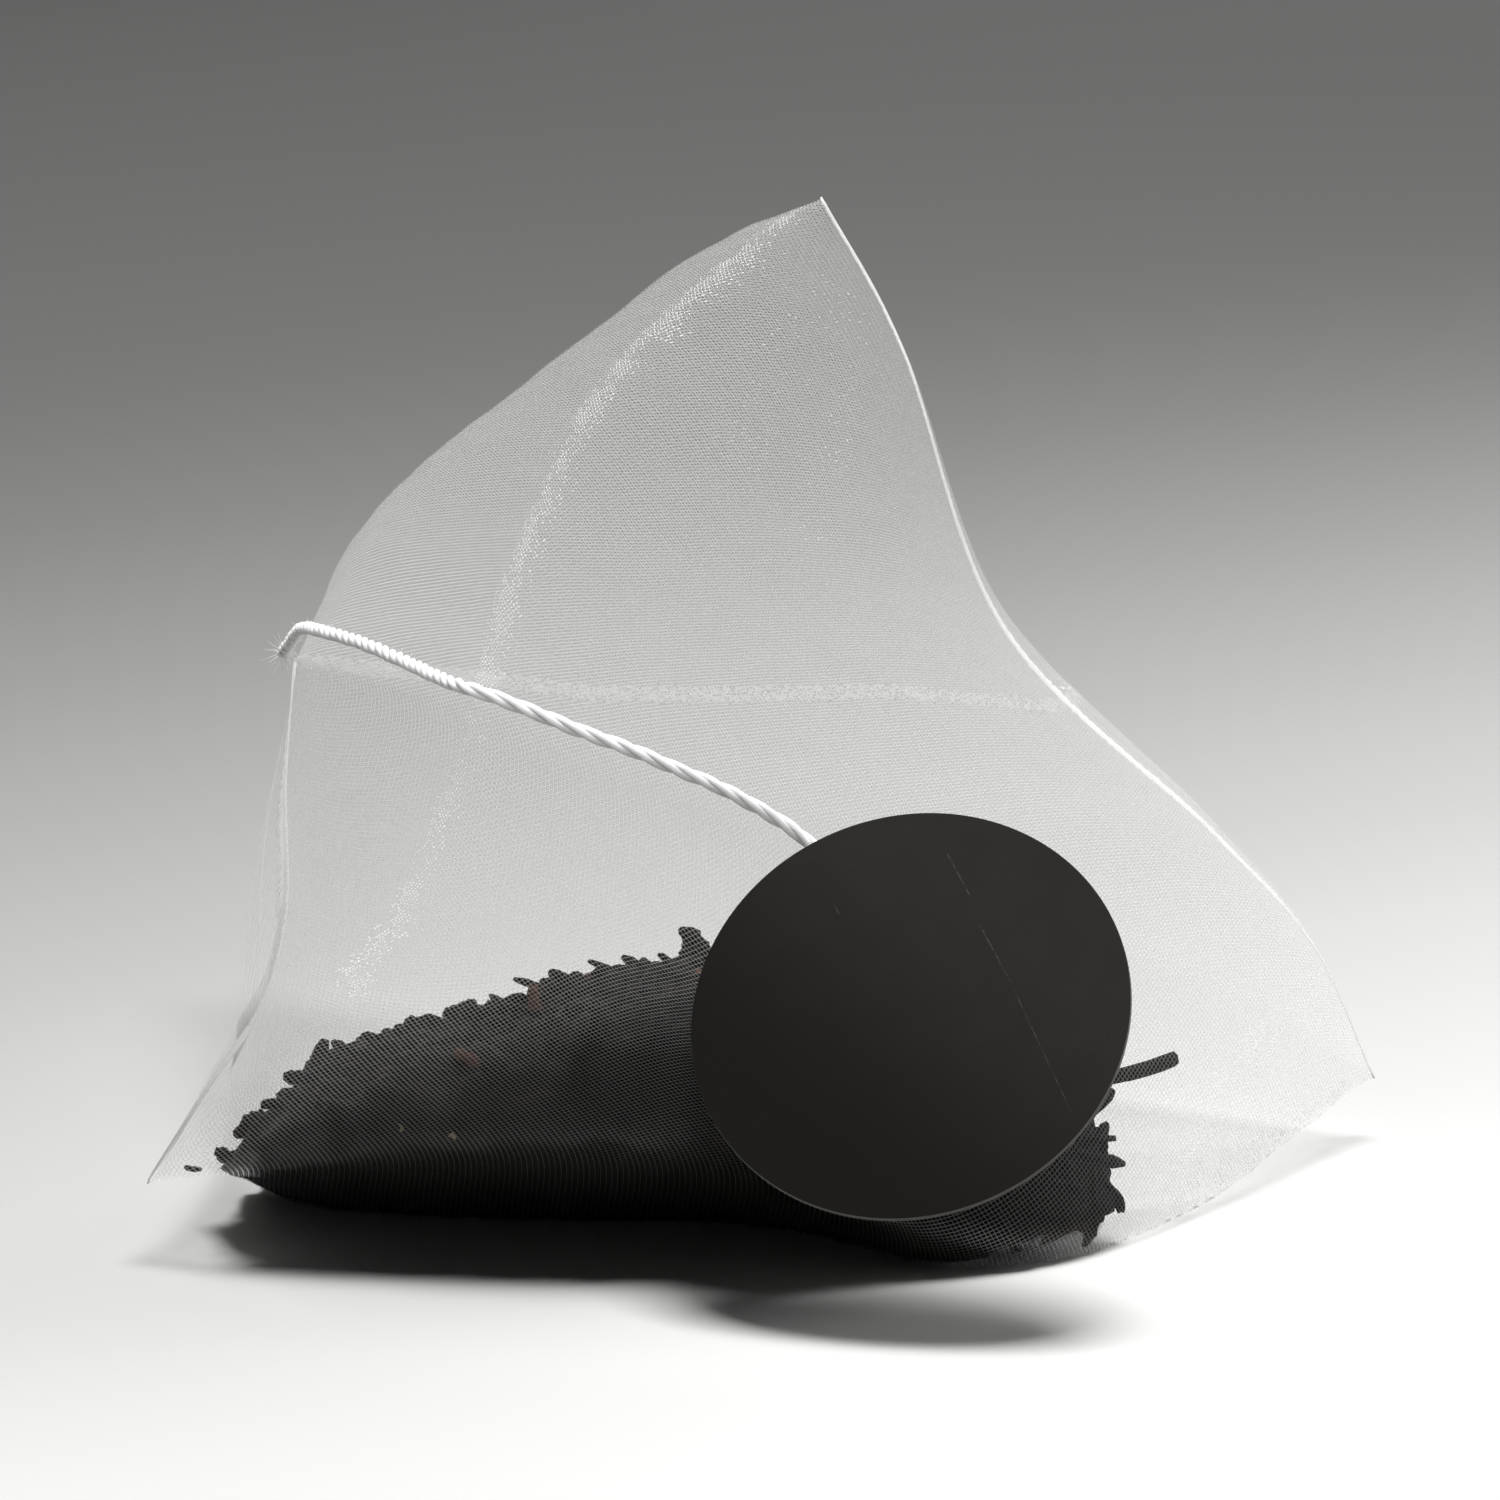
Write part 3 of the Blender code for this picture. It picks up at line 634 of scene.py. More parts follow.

# %% [markdown]
# Cloth that has been folded, sealed and squeezed keeps creases. Here they are lines drawn on the flat cloth,
# as (place round the tube, share along it). Near such a line the cloth is rumpled a little, and the same
# value is kept on every point as an attribute, so that the finish can paint glints on the weave's knuckles
# there: bright opaque spots that stand in for reflected light.

# %% Creases on the flat cloth
CREASES = (
    ("front_fold", ((0.004, 0.04), (0.021, 0.085), (0.064, 0.28), (0.116, 0.465), (0.161, 0.66), (0.19, 0.76)),
     0.0008, 1.0),
    ("heel_crease", ((0.445, 0.02), (0.432, 0.071), (0.421, 0.15), (0.418, 0.24)), 0.0009, 0.9),
    ("hem_crease", ((0.485, 0.06), (0.454, 0.179), (0.425, 0.290)), 0.0009, 0.9),
    ("left_rumple", ((0.050, 0.075), (0.080, 0.120), (0.096, 0.180)), 0.0014, 0.26),
    ("right_rumple", ((0.043, 0.030), (0.085, 0.065), (0.128, 0.150)), 0.0014, 0.26),
    ("lap_seam", ((0.750, 0.0), (0.700, 0.13), (0.704, 0.36), (0.711, 0.62), (0.729, 0.80), (0.750, 1.0)),
     0.0004, 1.0),
)
RUMPLE = 0.00012


def crease_strength(points):
    """For each (round, along) point in metres, how strongly it is creased, and how near the lap seam it is."""
    creased, lapped = np.zeros(len(points)), np.zeros(len(points))
    for name, knots, spread, strength in CREASES:
        line = even_curve(np.array(knots) * (GIRTH, TUBE_LENGTH), 60)
        near = np.min(np.linalg.norm(points[:, None] - line[None], axis=2), axis=1)
        value = strength * np.exp(-0.5 * (near / spread) ** 2)
        if name == "lap_seam":
            lapped = np.maximum(lapped, value)
        else:
            creased = np.maximum(creased, value)
    return creased, lapped


flat = np.array([[(column / COLUMNS * GIRTH, row / ROWS * TUBE_LENGTH) for column in range(COLUMNS)]
                 for row in range(ROWS + 1)])
creased, lapped = crease_strength(flat.reshape(-1, 2))
creased, lapped = creased.reshape(ROWS + 1, COLUMNS), lapped.reshape(ROWS + 1, COLUMNS)
print("creased points:", int((creased > 0.5).sum()), "lap points:", int((lapped > 0.5).sum()))


# %% Rumple the skin
def skin_normals(skin):
    """The outward normal at every point of the skin."""
    round_way = np.roll(skin, -1, axis=1) - np.roll(skin, 1, axis=1)
    along_way = np.gradient(skin, axis=0)
    normals = np.cross(round_way, along_way)
    normals /= np.maximum(np.linalg.norm(normals, axis=2, keepdims=True), 1e-12)
    middle = skin.mean(axis=(0, 1))
    return normals if np.sum(normals * (skin - middle)) > 0 else -normals


def rumple(skin, creased):
    """Push the cloth in and out a little, most of all along its creases."""
    normals = skin_normals(skin)
    for row in range(2, ROWS - 1):
        calm = min(1.0, (min(row, ROWS - row) - 1) / 10)
        for column in range(COLUMNS):
            point = Vector(skin[row, column])
            if point.z < 0.0006:
                continue
            broad = noise.noise(point * 160.0) * 1.4 + noise.noise(point * 420.0) * 0.5
            fine = noise.noise(point * 1500.0) * 1.2 * creased[row, column]
            skin[row, column] += normals[row, column] * RUMPLE * calm * (broad + fine)
    skin[:, :, 2] = np.maximum(skin[:, :, 2], 0.0)


rumple(skin, creased)
print("rumpled, lowest point in mm:", round(float(skin[:, :, 2].min()) * 1000, 3))


# %% Bag mesh from a flat grid
THREADS_ROUND = 616
THREADS_ALONG = 284


def sew_bag(skin, creased, lapped):
    """The flat grid, moved to the skin, sewn along its side and closed along its two seals."""
    bm = bmesh.new()
    bmesh.ops.create_grid(bm, x_segments=COLUMNS, y_segments=ROWS, size=0.5)
    threads = bm.loops.layers.uv.new("threads")
    crease_layer = bm.verts.layers.float.new("crease")
    lap_layer = bm.verts.layers.float.new("lap")
    for face in bm.faces:
        for loop in face.loops:
            at = loop.vert.co
            loop[threads].uv = ((at.x + 0.5) * THREADS_ROUND, (at.y + 0.5) * THREADS_ALONG)
    for vert in bm.verts:
        row = round((vert.co.y + 0.5) * ROWS)
        column = round((vert.co.x + 0.5) * COLUMNS) % COLUMNS
        vert.co = skin[row, column]
        vert[crease_layer] = creased[row, column]
        vert[lap_layer] = lapped[row, column]
    bmesh.ops.remove_doubles(bm, verts=bm.verts, dist=1e-7)
    open_edges = [edge for edge in bm.edges if edge.is_boundary]
    print("open edges before the seals close:", len(open_edges))
    close_seal(bm, open_edges, skin[0, 0], skin[0, COLUMNS // 2])
    close_seal(bm, open_edges, skin[ROWS, COLUMNS // 4], skin[ROWS, 3 * COLUMNS // 4])
    bmesh.ops.recalc_face_normals(bm, faces=bm.faces)
    mesh = bpy.data.meshes.new("nylon_bag")
    bm.to_mesh(mesh)
    bm.free()
    mesh.shade_smooth()
    return mesh


def close_seal(bm, open_edges, *tips):
    """Bridge the two cut layers of a seal. The edges at its two tips are left out and filled last."""
    tips = [Vector(tip) for tip in tips]
    middle, reach = (tips[0] + tips[1]) / 2, (tips[0] - tips[1]).length
    ring = [edge for edge in open_edges
            if edge.is_valid and (edge.verts[0].co - middle).length < 0.62 * reach and edge.is_boundary]
    at_tip = [edge for edge in ring
              if any((vert.co - tip).length < 1e-7 for vert in edge.verts for tip in tips)]
    chains = [edge for edge in ring if edge not in at_tip]
    bmesh.ops.bridge_loops(bm, edges=chains)
    left = [edge for edge in ring if edge.is_valid and edge.is_boundary]
    left += [edge for edge in bm.edges if edge.is_boundary and edge not in left]
    near = [edge for edge in left if (edge.verts[0].co - middle).length < 0.62 * reach]
    bmesh.ops.holes_fill(bm, edges=near, sides=4)


bag_mesh = sew_bag(skin, creased, lapped)
bag = bpy.data.objects.new("nylon_bag", bag_mesh)
bpy.context.scene.collection.objects.link(bag)
wall = bag.modifiers.new("thickness", "SOLIDIFY")
wall.thickness = CLOTH
wall.offset = -1.0
print("bag faces:", len(bag_mesh.polygons))

# %% [markdown]
# The weave is a shader node group, because the cloth, its lap seam and its seals all use it. It reads the
# flat cloth's own coordinates, which count its threads. Round clear threads cross every 0.26 mm, one over
# and one under, and what shows between them is open air. The group gives a cover, a height and a mask of
# knuckles.

# %% Weave group
def wave(tree, value, turn):
    """A cosine along a thread that is high where it passes over and low where it passes under."""
    return calc(tree, "COSINE", calc(tree, "MULTIPLY_ADD", value, math.pi, turn))


def plain_weave_group():
    """One thread over and one under, as masks and a height that any material may use."""
    group = bpy.data.node_groups.new("plain_weave", "ShaderNodeTree")
    group.interface.new_socket("Flat Place", in_out="INPUT", socket_type="NodeSocketVector")
    group.interface.new_socket("Thread Share", in_out="INPUT", socket_type="NodeSocketFloat")
    for name in ("Cover", "Height", "Knuckle", "Cell"):
        group.interface.new_socket(name, in_out="OUTPUT", socket_type="NodeSocketFloat")
    given = add_node(group, "NodeGroupInput")
    result = add_node(group, "NodeGroupOutput")
    parts = add_node(group, "ShaderNodeSeparateXYZ", {0: given.outputs["Flat Place"]})
    x, y = parts.outputs["X"], parts.outputs["Y"]
    half = calc(group, "MULTIPLY", given.outputs["Thread Share"], 0.5)
    inner = calc(group, "MULTIPLY", half, 0.25)
    columns, rows = calc(group, "FLOOR", x), calc(group, "FLOOR", y)
    from_warp = calc(group, "ABSOLUTE", calc(group, "SUBTRACT", calc(group, "FRACT", x), 0.5))
    from_weft = calc(group, "ABSOLUTE", calc(group, "SUBTRACT", calc(group, "FRACT", y), 0.5))
    warp, weft = ease(group, from_warp, half, inner), ease(group, from_weft, half, inner)
    warp_wave = wave(group, calc(group, "ADD", y, columns), -0.5 * math.pi)
    weft_wave = wave(group, calc(group, "ADD", x, rows), 0.5 * math.pi)
    cover = calc(group, "MAXIMUM", warp, weft)
    warp_height = calc(group, "MULTIPLY", warp, calc(group, "MULTIPLY_ADD", warp_wave, 0.35, 0.65))
    weft_height = calc(group, "MULTIPLY", weft, calc(group, "MULTIPLY_ADD", weft_wave, 0.35, 0.65))
    height = calc(group, "MAXIMUM", warp_height, weft_height)
    warp_knuckle = calc(group, "MULTIPLY", warp, ease(group, warp_wave, 0.0, 0.50))
    weft_knuckle = calc(group, "MULTIPLY", weft, ease(group, weft_wave, 0.40, 0.80))
    knuckle = calc(group, "MAXIMUM", warp_knuckle, weft_knuckle)
    cell = add_node(group, "ShaderNodeCombineXYZ", {0: columns, 1: rows}).outputs[0]
    chance = add_node(group, "ShaderNodeTexWhiteNoise", {"Vector": cell},
                      noise_dimensions="2D").outputs["Value"]
    for name, socket in (("Cover", cover), ("Height", height), ("Knuckle", knuckle), ("Cell", chance)):
        group.links.new(socket, result.inputs[name])
    return group


plain_weave = plain_weave_group()
print("weave group outputs:", [socket.name for socket in plain_weave.interface.items_tree])

# %% [markdown]
# Nylon thread is clear, so light from behind comes through it as well as off it. The finish mixes a glossy
# plastic with a translucent one by the weave's cover, and between the threads nothing is drawn. Along the
# seals the heat has fused the cloth into a thin solid bead. In the creases and along the lap seam some knuckles
# are painted as opaque white dots. These are painted glints, and along the lap seam they also stand for its weld
# dots.

# %% Nylon finish
THREAD_SHARE = 0.22
THREAD_BODY = 0.085
THREAD_GLOW = 0.25
SEAL_BEAD = 0.65
BEAD_GLOW = 0.55
LAP_SHIFT = (0.42, 0.58, 0.0)


def nylon_material():
    """Clear woven nylon, with painted glints on knuckles in its creases and lap seam, and a fused bead at its
    seals.
    """
    material, tree, surface = new_material("nylon_mesh")
    flat_place = add_node(tree, "ShaderNodeUVMap", uv_map="threads").outputs[0]
    weave = add_node(tree, "ShaderNodeGroup", {"Flat Place": flat_place, "Thread Share": THREAD_SHARE},
                     node_tree=plain_weave)
    crease = add_node(tree, "ShaderNodeAttribute", attribute_name="crease").outputs["Fac"]
    lap = add_node(tree, "ShaderNodeAttribute", attribute_name="lap").outputs["Fac"]
    shift_place = add_node(tree, "ShaderNodeVectorMath", {0: flat_place, 1: LAP_SHIFT},
                           operation="ADD").outputs[0]
    second = add_node(tree, "ShaderNodeGroup", {"Flat Place": shift_place, "Thread Share": THREAD_SHARE},
                      node_tree=plain_weave)
    in_lap = ease(tree, lap, 0.25, 0.45)
    chance = weave.outputs["Cell"]
    patch = ease(tree, speckle(tree, flat_place, 0.10, 1.0), 0.35, 0.65, 0.45, 1.25)
    # Painted glints: knuckles near the creases and along the lap seam turn into opaque near-white dots that stand
    # in for reflected light.
    crease_painted_glint = ease(tree, calc(tree, "SUBTRACT", calc(tree, "MULTIPLY", crease, patch), chance), 0.0, 0.2)
    lap_painted_glint = ease(tree, calc(tree, "SUBTRACT", lap, chance), 0.05, 0.2)
    painted_glint = calc(tree, "MULTIPLY", weave.outputs["Knuckle"], calc(tree, "MAXIMUM", crease_painted_glint, lap_painted_glint))
    along = add_node(tree, "ShaderNodeSeparateXYZ", {0: flat_place}).outputs["Y"]
    from_edge = calc(tree, "MINIMUM", along, calc(tree, "SUBTRACT", THREADS_ALONG, along))
    ragged = calc(tree, "MULTIPLY_ADD", speckle(tree, flat_place, 0.57), 0.6, -0.3)
    bead = ease(tree, calc(tree, "ADD", from_edge, ragged), SEAL_BEAD, 0.4 * SEAL_BEAD)
    layered = calc(tree, "MAXIMUM", weave.outputs["Cover"],
                   calc(tree, "MULTIPLY", second.outputs["Cover"], in_lap))
    threads = calc(tree, "MULTIPLY", layered, THREAD_BODY)
    # The painted glints and the fused seal bead are opaque, and take the near-white colour below.
    painted_glint_and_bead = calc(tree, "MAXIMUM", painted_glint, calc(tree, "MULTIPLY", bead, 0.85))
    cover = calc(tree, "MAXIMUM", threads, painted_glint_and_bead)
    uneven = speckle(tree, flat_place, 0.09)
    tone = blend_colours(tree, uneven, (0.72, 0.725, 0.71, 1.0), (0.82, 0.825, 0.81, 1.0))
    colour = blend_colours(tree, painted_glint_and_bead, tone, (0.97, 0.975, 0.97, 1.0))
    bump = add_node(tree, "ShaderNodeBump",
                    {"Strength": 0.7, "Distance": 0.00004, "Height": weave.outputs["Height"]})
    plastic = add_node(tree, "ShaderNodeBsdfPrincipled", {
        "Base Color": colour, "Roughness": 0.28, "Alpha": cover, "Normal": bump.outputs[0], "IOR": 1.53})
    glow = add_node(tree, "ShaderNodeBsdfTranslucent", {"Color": colour})
    clear = calc(tree, "SUBTRACT", 1.0, painted_glint_and_bead)
    through = calc(tree, "MULTIPLY", calc(tree, "MULTIPLY", layered, clear), THREAD_GLOW)
    through = calc(tree, "MAXIMUM", through, calc(tree, "MULTIPLY", bead, BEAD_GLOW))
    mixed = add_node(tree, "ShaderNodeMixShader", {0: through, 1: plastic.outputs[0], 2: glow.outputs[0]})
    tree.links.new(mixed.outputs[0], surface)
    return material


bag_mesh.materials.append(nylon_material())
light_only(lamps[-1], cotton_string, bag)
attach(bag, BODY)
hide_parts("mesh_bag")
print("nylon on", bag.name)

# %% [markdown]
# The tag is a round of stiff paper, 25 mm across. It is dark right through, and greyer where the die cut it.
# The face stays bare. A disc is the right start, and a bevel takes the sharpness off its cut edge. Paper has a
# fine grain, and a tag that has travelled has a few hairline scuffs. The face is also painted darker towards
# its lower left, a painted shade.

# %% Tag
TAG_RADIUS = 0.0125
TAG_THICKNESS = 0.0004
TAG_SEGMENTS = 160
PAINTED_SHADE_TONE = (0.006, 0.0055, 0.005, 1.0)
TAG_SCUFFS = (((0.35, 10.35), (2.6, 7.0)), ((3.0, 5.9), (5.7, 1.9)), ((5.3, 2.5), (10.5, -6.1)),
              ((-5.45, 6.5), (-4.9, 5.6)))


def tag_mesh():
    """A thin round disc with a bevelled edge, and its own flat UV map in millimetres."""
    bm = bmesh.new()
    bmesh.ops.create_cone(bm, cap_ends=True, segments=TAG_SEGMENTS, radius1=TAG_RADIUS, radius2=TAG_RADIUS,
                          depth=TAG_THICKNESS)
    rim = [edge for edge in bm.edges if abs(edge.verts[0].co.z - edge.verts[1].co.z) < 1e-6]
    bmesh.ops.bevel(bm, geom=rim, offset=0.00004, segments=2, profile=0.5, affect="EDGES", material=-1)
    for face in bm.faces:
        face.material_index = 0 if abs(face.normal.z) > 0.9 else 1
    uv = bm.loops.layers.uv.new("face")
    for face in bm.faces:
        for loop in face.loops:
            loop[uv].uv = (loop.vert.co.x / MM, loop.vert.co.y / MM)
    bmesh.ops.transform(bm, matrix=Matrix.Translation(node_middle("tag")) @ TAG_TURN.to_4x4(), verts=bm.verts)
    mesh = bpy.data.meshes.new("paper_tag")
    bm.to_mesh(mesh)
    bm.free()
    return mesh


def scuff(tree, place, start, end):
    """A mask along a hairline between two points of the tag's face, in millimetres."""
    start, end = Vector((*start, 0.0)), Vector((*end, 0.0))
    way = (end - start).normalized()
    side = Vector((-way.y, way.x, 0.0))
    moved = add_node(tree, "ShaderNodeVectorMath", {0: place, 1: (start + end) / 2},
                     operation="SUBTRACT").outputs[0]
    off, along = (add_node(tree, "ShaderNodeVectorMath", {0: moved, 1: axis},
                           operation="DOT_PRODUCT").outputs["Value"] for axis in (side, way))
    thin = ease(tree, calc(tree, "ABSOLUTE", off), 0.06, 0.01)
    reach = (end - start).length / 2
    inside = ease(tree, calc(tree, "ABSOLUTE", along), reach, 0.6 * reach)
    return calc(tree, "MULTIPLY", thin, inside)


def paper_face_material():
    """Dark matt paper with a fine grain, a few scuffs and a painted shade that darkens it towards the lower left.
    """
    material, tree, surface = new_material("dark_paper")
    face_place = add_node(tree, "ShaderNodeUVMap", uv_map="face").outputs[0]
    fibre = speckle(tree, face_place, 6.0, 4.0, 0.75)
    broad = speckle(tree, face_place, 0.35)
    shade = calc(tree, "ADD", calc(tree, "MULTIPLY", fibre, 0.6), calc(tree, "MULTIPLY", broad, 0.4))
    colour = blend_colours(tree, shade, (0.020, 0.0182, 0.0164, 1.0), (0.048, 0.0437, 0.0393, 1.0))
    worn = 0.0
    for start, end in TAG_SCUFFS:
        worn = calc(tree, "MAXIMUM", worn, scuff(tree, face_place, start, end))
    patchy = calc(tree, "MULTIPLY", worn, ease(tree, speckle(tree, face_place, 2.4), 0.42, 0.6, 0.15, 0.8))
    colour = blend_colours(tree, patchy, colour, (0.11, 0.10, 0.095, 1.0))
    # Painted shade: the face is painted darker towards its lower left and lighter at its top, as if light fell on
    # it unevenly.
    shade_slope = add_node(tree, "ShaderNodeVectorMath", {0: face_place, 1: (0.55, 0.83, 0.0)},
                     operation="DOT_PRODUCT")
    colour = blend_colours(tree, ease(tree, shade_slope.outputs["Value"], 8.0, -9.0, 0.0, 0.9), colour, PAINTED_SHADE_TONE)
    bump = add_node(tree, "ShaderNodeBump", {"Strength": 0.25, "Distance": 0.00002, "Height": fibre})
    shader = add_node(tree, "ShaderNodeBsdfPrincipled", {
        "Base Color": colour, "Roughness": 0.80, "Normal": bump.outputs[0], "Specular IOR Level": 0.10})
    tree.links.new(shader.outputs[0], surface)
    return material


def paper_edge_material():
    """The paper's cut edge, a little greyer than its face."""
    material, tree, surface = new_material("cut_paper_edge")
    place = add_node(tree, "ShaderNodeTexCoord").outputs["Object"]
    colour = blend_colours(tree, speckle(tree, place, 5000.0),
                           (0.07, 0.068, 0.064, 1.0), (0.14, 0.137, 0.13, 1.0))
    shader = add_node(tree, "ShaderNodeBsdfPrincipled", {"Base Color": colour, "Roughness": 0.85})
    tree.links.new(shader.outputs[0], surface)
    return material


tag = bpy.data.objects.new("paper_tag", tag_mesh())
bpy.context.scene.collection.objects.link(tag)
tag.data.materials.append(paper_face_material())
tag.data.materials.append(paper_edge_material())
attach(tag, BODY)
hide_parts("tag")
print("tag faces:", len(tag.data.polygons))

# %% [markdown]
# Black tea is rolled leaf: thin twisted pieces a few millimetres long, with a few reddish stalks. Several
# hundred of them are needed, so one leaf is made from a short cone with a few cuts, and each copy is bent,
# twisted and laid on the heap. The heap under them is the CAD heap with a rougher surface.

# %% One rolled leaf
LEAF_SIDES = 6
LEAF_CUTS = (-0.36, -0.2, 0.0, 0.2, 0.36)


def rolled_leaf(length, radius, bend, twist, rng, tips=(0.35, 0.8)):
    """A tapered, ridged and twisted rod along X, as a small bmesh."""
    bm = bmesh.new()
    bmesh.ops.create_cone(bm, cap_ends=True, segments=LEAF_SIDES, radius1=radius, radius2=radius, depth=length)
    for share in LEAF_CUTS:
        bmesh.ops.bisect_plane(bm, geom=bm.verts[:] + bm.edges[:] + bm.faces[:], dist=1e-8,
                               plane_co=(0, 0, share * length), plane_no=(0, 0, 1))
    wobble = [rng.uniform(0.75, 1.2) for _ in range(8)]
    tip = rng.uniform(*tips)
    for vert in bm.verts:
        along = vert.co.z / length
        angle = math.atan2(vert.co.y, vert.co.x)
        knot = wobble[min(7, int((along + 0.5) * 7.99))]
        girth = radius * knot * (1.0 - tip * (2.0 * abs(along)) ** 3.5) * (1.0 + 0.22 * math.cos(3.0 * angle))
        turned = angle + twist * along
        vert.co = Vector((vert.co.z, girth * math.cos(turned) + bend * length * (along * along - 0.12),
                          0.72 * girth * math.sin(turned) + 0.3 * bend * length * along ** 3))
    return bm


print("leaf has", LEAF_SIDES * (len(LEAF_CUTS) + 1) + 2, "faces")

# %% Heap core
PRESSED_GAP = 0.0042
SIDE_GAP = 0.0022
CORE_ROOM = 0.00045
UNDERSIDE_ROOM = 0.00010
END_LIFT = ((0.010, 0.0), (0.014, 0.0017))
inside_tree = BVHTree.FromPolygons([vert.co for vert in bag_mesh.vertices],
                                   [tuple(face.vertices) for face in bag_mesh.polygons])


def end_lift(x):
    """How far the tea stands off the floor at its right end, where the cloth runs on without it."""
    places, lifts = zip(*END_LIFT)
    return np.interp(x, places, lifts)


def nearest_wall(point, normal):
    """The nearest place on the cloth and the way out of it, if the tea presses on the cloth there."""
    place, out, _, gap = inside_tree.find_nearest(point)
    reach = PRESSED_GAP if (out.y < -0.5 or out.z < -0.25) and point.x < END_LIFT[0][0] else SIDE_GAP
    pressed = gap < reach and normal.dot(out) > 0.2 and normal.z < 0.6
    pressed = pressed and place.z > end_lift(place.x) - 0.0003
    return (place, out) if pressed else (None, None)


def heap_core():
    """The CAD heap as one welded mesh, cut finer, pressed against the cloth and roughened inwards elsewhere."""
    bm = bmesh.new()
    bm.from_mesh(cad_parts["tea_heap"].data)
    bmesh.ops.remove_doubles(bm, verts=bm.verts, dist=1e-6)
    bmesh.ops.subdivide_edges(bm, edges=bm.edges[:], cuts=3, use_grid_fill=True)
    bm.normal_update()
    for vert in bm.verts:
        rough = noise.noise(vert.co * 900.0) + 0.6 * noise.noise(vert.co * 2400.0)
        place, out = nearest_wall(vert.co, vert.normal)
        if place is None:
            vert.co -= vert.normal * (0.00035 + 0.00022 * rough)
        else:
            room = UNDERSIDE_ROOM if out.z < -0.25 else CORE_ROOM
            vert.co = place - out * (room + 0.00004 * rough)
        vert.co.z = max(vert.co.z, end_lift(vert.co.x) * (1.0 + 0.2 * rough))
    return bm


core = heap_core()
core.faces.ensure_lookup_table()
print("heap core faces:", len(core.faces))

# %% Lay the leaves
LEAF_COUNT = 1250
LEAF_LENGTH = (0.0015, 0.0038)
LEAF_RADIUS = (0.00028, 0.00070)
WALL_ROOM = 0.00012
PILE_COUNT = 560
PILE_HEIGHTS = ((-0.028, 0.0), (-0.024, 0.0008), (-0.019, 0.0013), (-0.005, 0.0015), (0.0, 0.0003),
                (0.004, 0.0))

HAND_DEPTHS = (0.00015, 0.0003, 0.0006, 0.0010, 0.0015)
HAND_LEAVES = (
    ((0.365, 0.268), (0.394, 0.184), 0.00056, 0.10, 0), ((0.371, 0.300), (0.375, 0.254), 0.00034, 0.0, 0),
    ((0.375, 0.325), (0.390, 0.303), 0.00034, 0.2, 0), ((0.372, 0.318), (0.386, 0.284), 0.00024, 0.0, 0),
    ((0.384, 0.321), (0.400, 0.352), 0.00040, 0.0, 0), ((0.364, 0.360), (0.380, 0.335), 0.00055, 0.1, 0),
    ((0.368, 0.345), (0.378, 0.320), 0.00050, -0.1, 0), ((0.362, 0.330), (0.372, 0.300), 0.00050, 0.1, 0),
    ((0.376, 0.365), (0.384, 0.345), 0.00045, 0.0, 0), ((0.254, 0.972), (0.265, 0.962), 0.00026, 0.4, 0),
    ((0.250, 0.946), (0.258, 0.936), 0.00040, 0.2, 0), ((0.246, 0.918), (0.239, 0.902), 0.00042, 0.2, 1),
    ((0.236, 0.884), (0.240, 0.868), 0.00036, -0.2, 0), ((0.229, 0.640), (0.239, 0.654), 0.00040, 0.2, 2),
    ((0.243, 0.738), (0.254, 0.727), 0.00036, -0.2, 2), ((0.276, 0.822), (0.288, 0.813), 0.00034, 0.2, 3),
    ((0.290, 0.794), (0.299, 0.787), 0.00030, 0.1, 3))


def is_inside(points):
    """True if every point is in the bag and clear of its cloth."""
    for point in points:
        place, normal, _, gap = inside_tree.find_nearest(point)
        if (point - place).dot(normal) > -WALL_ROOM:
            return False
    return True


def pick_faces(bm, rng, count):
    """Faces of the heap, picked by their area."""
    faces = list(bm.faces)
    return rng.choices(faces, weights=[face.calc_area() for face in faces], k=count)


def lay_leaf(target, leaf, matrix, tone):
    """Add a leaf to the target mesh at a place, if it stays inside the bag."""
    bmesh.ops.transform(leaf, matrix=matrix, verts=leaf.verts)
    good = is_inside([vert.co for vert in leaf.verts])
    if good:
        for face in leaf.faces:
            face.material_index = tone
        part = bpy.data.meshes.new("leaf")
        leaf.to_mesh(part)
        target.from_mesh(part)
        bpy.data.meshes.remove(part)
    leaf.free()
    return good


def leaf_matrix(place, normal, lift, heading, pitch):
    """Lay a leaf flat on a surface, turn it to a heading and pitch it up."""
    lie = normal.to_track_quat("Z", "Y").to_matrix().to_4x4()
    turn = Matrix.Rotation(heading, 4, "Z") @ Matrix.Rotation(-pitch, 4, "Y")
    return Matrix.Translation(place + normal * lift) @ lie @ turn


def pile_leaves(core, tea, rng):
    """Heap more leaves along the crest, where the photograph shows the tea standing highest."""
    places, heights = zip(*PILE_HEIGHTS)
    laid = 0
    for face in pick_faces(core, rng, PILE_COUNT * 4):
        spot = face.calc_center_median()
        height = np.interp(spot.x, places, heights)
        if face.normal.z < 0.3 or height == 0.0 or laid >= PILE_COUNT:
            continue
        leaf = rolled_leaf(rng.uniform(*LEAF_LENGTH) * 0.8, rng.uniform(*LEAF_RADIUS), rng.uniform(-0.5, 0.5),
                           rng.uniform(-5.0, 5.0), rng)
        matrix = leaf_matrix(spot, Vector((0, 0, 1)), height * rng.random(), rng.uniform(0, math.tau),
                             rng.uniform(-0.5, 0.5))
        laid += lay_leaf(tea, leaf, matrix, rng.choices((0, 1, 2), weights=(80, 18, 2))[0])
    return laid


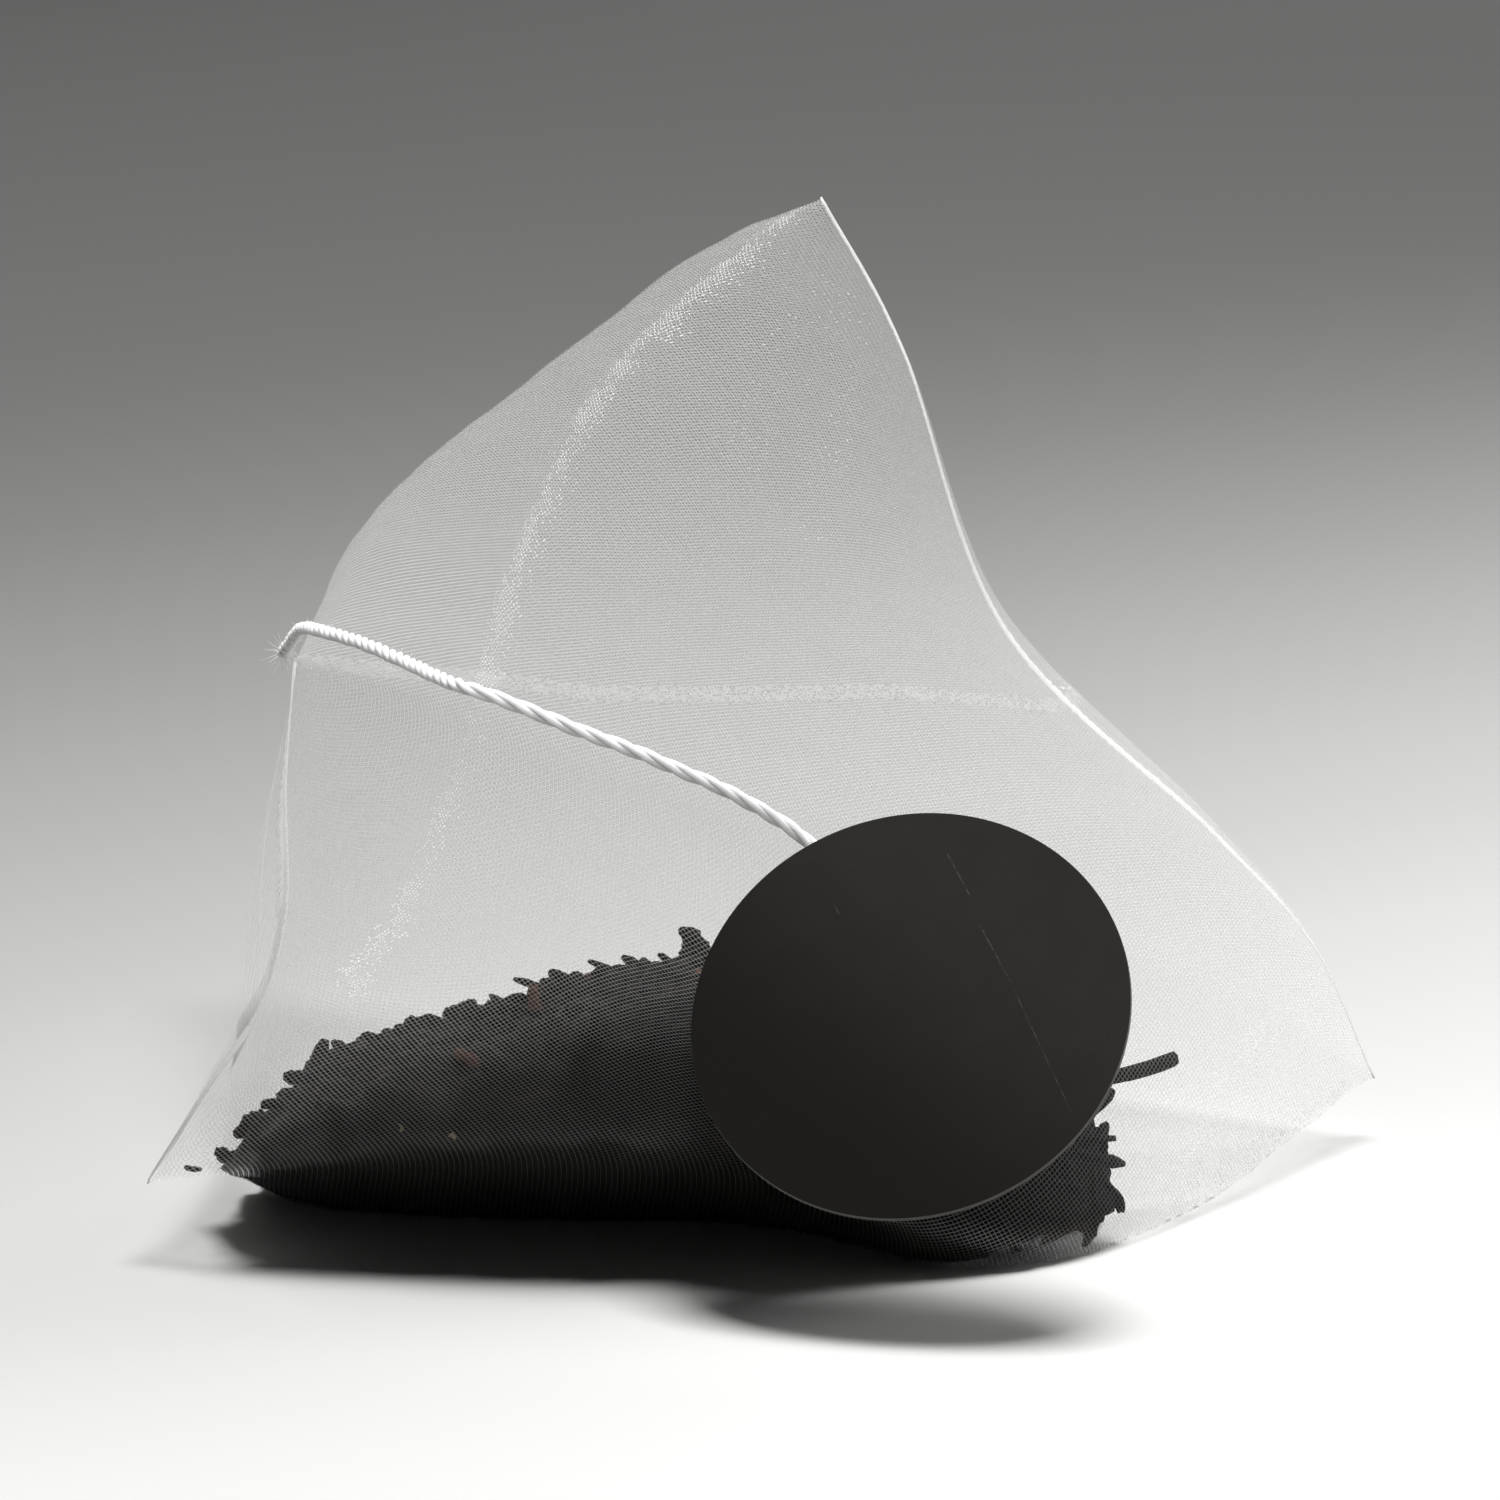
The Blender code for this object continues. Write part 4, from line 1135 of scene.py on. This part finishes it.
def strew_leaves(core, rng):
    """Lay leaves flat all over the heap."""
    tea = bmesh.new()
    laid = 0
    for face in pick_faces(core, rng, LEAF_COUNT):
        length, radius = rng.uniform(*LEAF_LENGTH), rng.uniform(*LEAF_RADIUS)
        spot, way = face.calc_center_median(), face.normal
        wall, out = nearest_wall(spot, way)
        if wall is None:
            pitch = rng.uniform(-0.2, 0.6)
            lift = rng.uniform(0.0, 0.6) * radius
        else:
            spot, way = wall, out
            pitch = rng.uniform(-0.06, 0.06)
            lift = -1.15 * radius - 1.6 * WALL_ROOM
        tone = rng.choices((0, 1, 2), weights=(80, 17, 3))[0]
        leaf = rolled_leaf(length, radius, rng.uniform(-0.5, 0.5), rng.uniform(-5.0, 5.0), rng)
        matrix = leaf_matrix(spot, way, lift, rng.uniform(0, math.tau), pitch)
        laid += lay_leaf(tea, leaf, matrix, tone)
    return tea, laid


def lay_by_hand(tea, start, end, radius, bend, tone, rng):
    """Lay a leaf close behind the cloth, between two places on it."""
    ends = [skin_place(*spot) for spot in (start, end)]
    middle, out = (ends[0][0] + ends[1][0]) / 2, (ends[0][1] + ends[1][1]).normalized()
    way = ends[1][0] - ends[0][0]
    across = out.cross(way).normalized()
    turn = Matrix((way.normalized(), across, way.normalized().cross(across))).transposed().to_4x4()
    for depth in HAND_DEPTHS:
        leaf = rolled_leaf(way.length, radius, bend, rng.uniform(-2.0, 2.0), rng, tips=(0.25, 0.45))
        if lay_leaf(tea, leaf, Matrix.Translation(middle - out * (radius + depth)) @ turn, tone):
            return 1
    return 0


def skin_place(place, v):
    """A point of the cloth and the way out of the bag there."""
    row, column = round(v * ROWS), round(place * COLUMNS) % COLUMNS
    return Vector(skin[row, column]), Vector(outward[row, column])


tea_rng = random.Random(11)
outward = skin_normals(skin)
tea, laid = strew_leaves(core, tea_rng)
laid += pile_leaves(core, tea, tea_rng)
placed = sum(lay_by_hand(tea, *row, tea_rng) for row in HAND_LEAVES)
print("leaves laid on the heap:", laid, "and by hand:", placed, "of", len(HAND_LEAVES))

# %% Tea finish
def tea_material(name, dark, light, roughness):
    """Dry rolled leaf, between a dark and a light tone."""
    material, tree, surface = new_material(name)
    place = add_node(tree, "ShaderNodeTexCoord").outputs["Object"]
    broad = speckle(tree, place, 650.0, 2.0)
    fine = speckle(tree, place, 5200.0, 3.0, 0.65)
    shade = calc(tree, "MULTIPLY", broad, fine)
    colour = blend_colours(tree, ease(tree, shade, 0.12, 0.45), (*dark, 1.0), (*light, 1.0))
    bump = add_node(tree, "ShaderNodeBump", {"Strength": 0.8, "Distance": 0.00005, "Height": fine})
    shader = add_node(tree, "ShaderNodeBsdfPrincipled", {
        "Base Color": colour, "Roughness": roughness, "Normal": bump.outputs[0], "Specular IOR Level": 0.03})
    tree.links.new(shader.outputs[0], surface)
    return material


black_leaf = tea_material("black_leaf", (0.0020, 0.0016, 0.0014), (0.008, 0.0062, 0.0055), 0.60)
brown_leaf = tea_material("brown_leaf", (0.004, 0.0027, 0.0020), (0.018, 0.0105, 0.0075), 0.60)
red_stalk = tea_material("red_stalk", (0.040, 0.016, 0.010), (0.12, 0.050, 0.034), 0.60)
golden_tip = tea_material("golden_tip", (0.22, 0.18, 0.12), (0.55, 0.47, 0.33), 0.60)


def make_piece(name, bm, materials):
    """Make a bmesh of tea into a piece of the scene, with its materials."""
    mesh = bpy.data.meshes.new(name)
    bm.to_mesh(mesh)
    bm.free()
    mesh.shade_smooth()
    for material in materials:
        mesh.materials.append(material)
    piece = bpy.data.objects.new(name, mesh)
    bpy.context.scene.collection.objects.link(piece)
    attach(piece, BODY)
    return piece


packed_tea = make_piece("tea_heap_core", core, [black_leaf])
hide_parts("tea_heap")
loose_tea = make_piece("rolled_leaves", tea, [black_leaf, brown_leaf, red_stalk, golden_tip])
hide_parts(*[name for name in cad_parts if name.startswith("tea_leaf_")])
print("leaf triangles:", sum(len(face.vertices) - 2 for face in loose_tea.data.polygons))
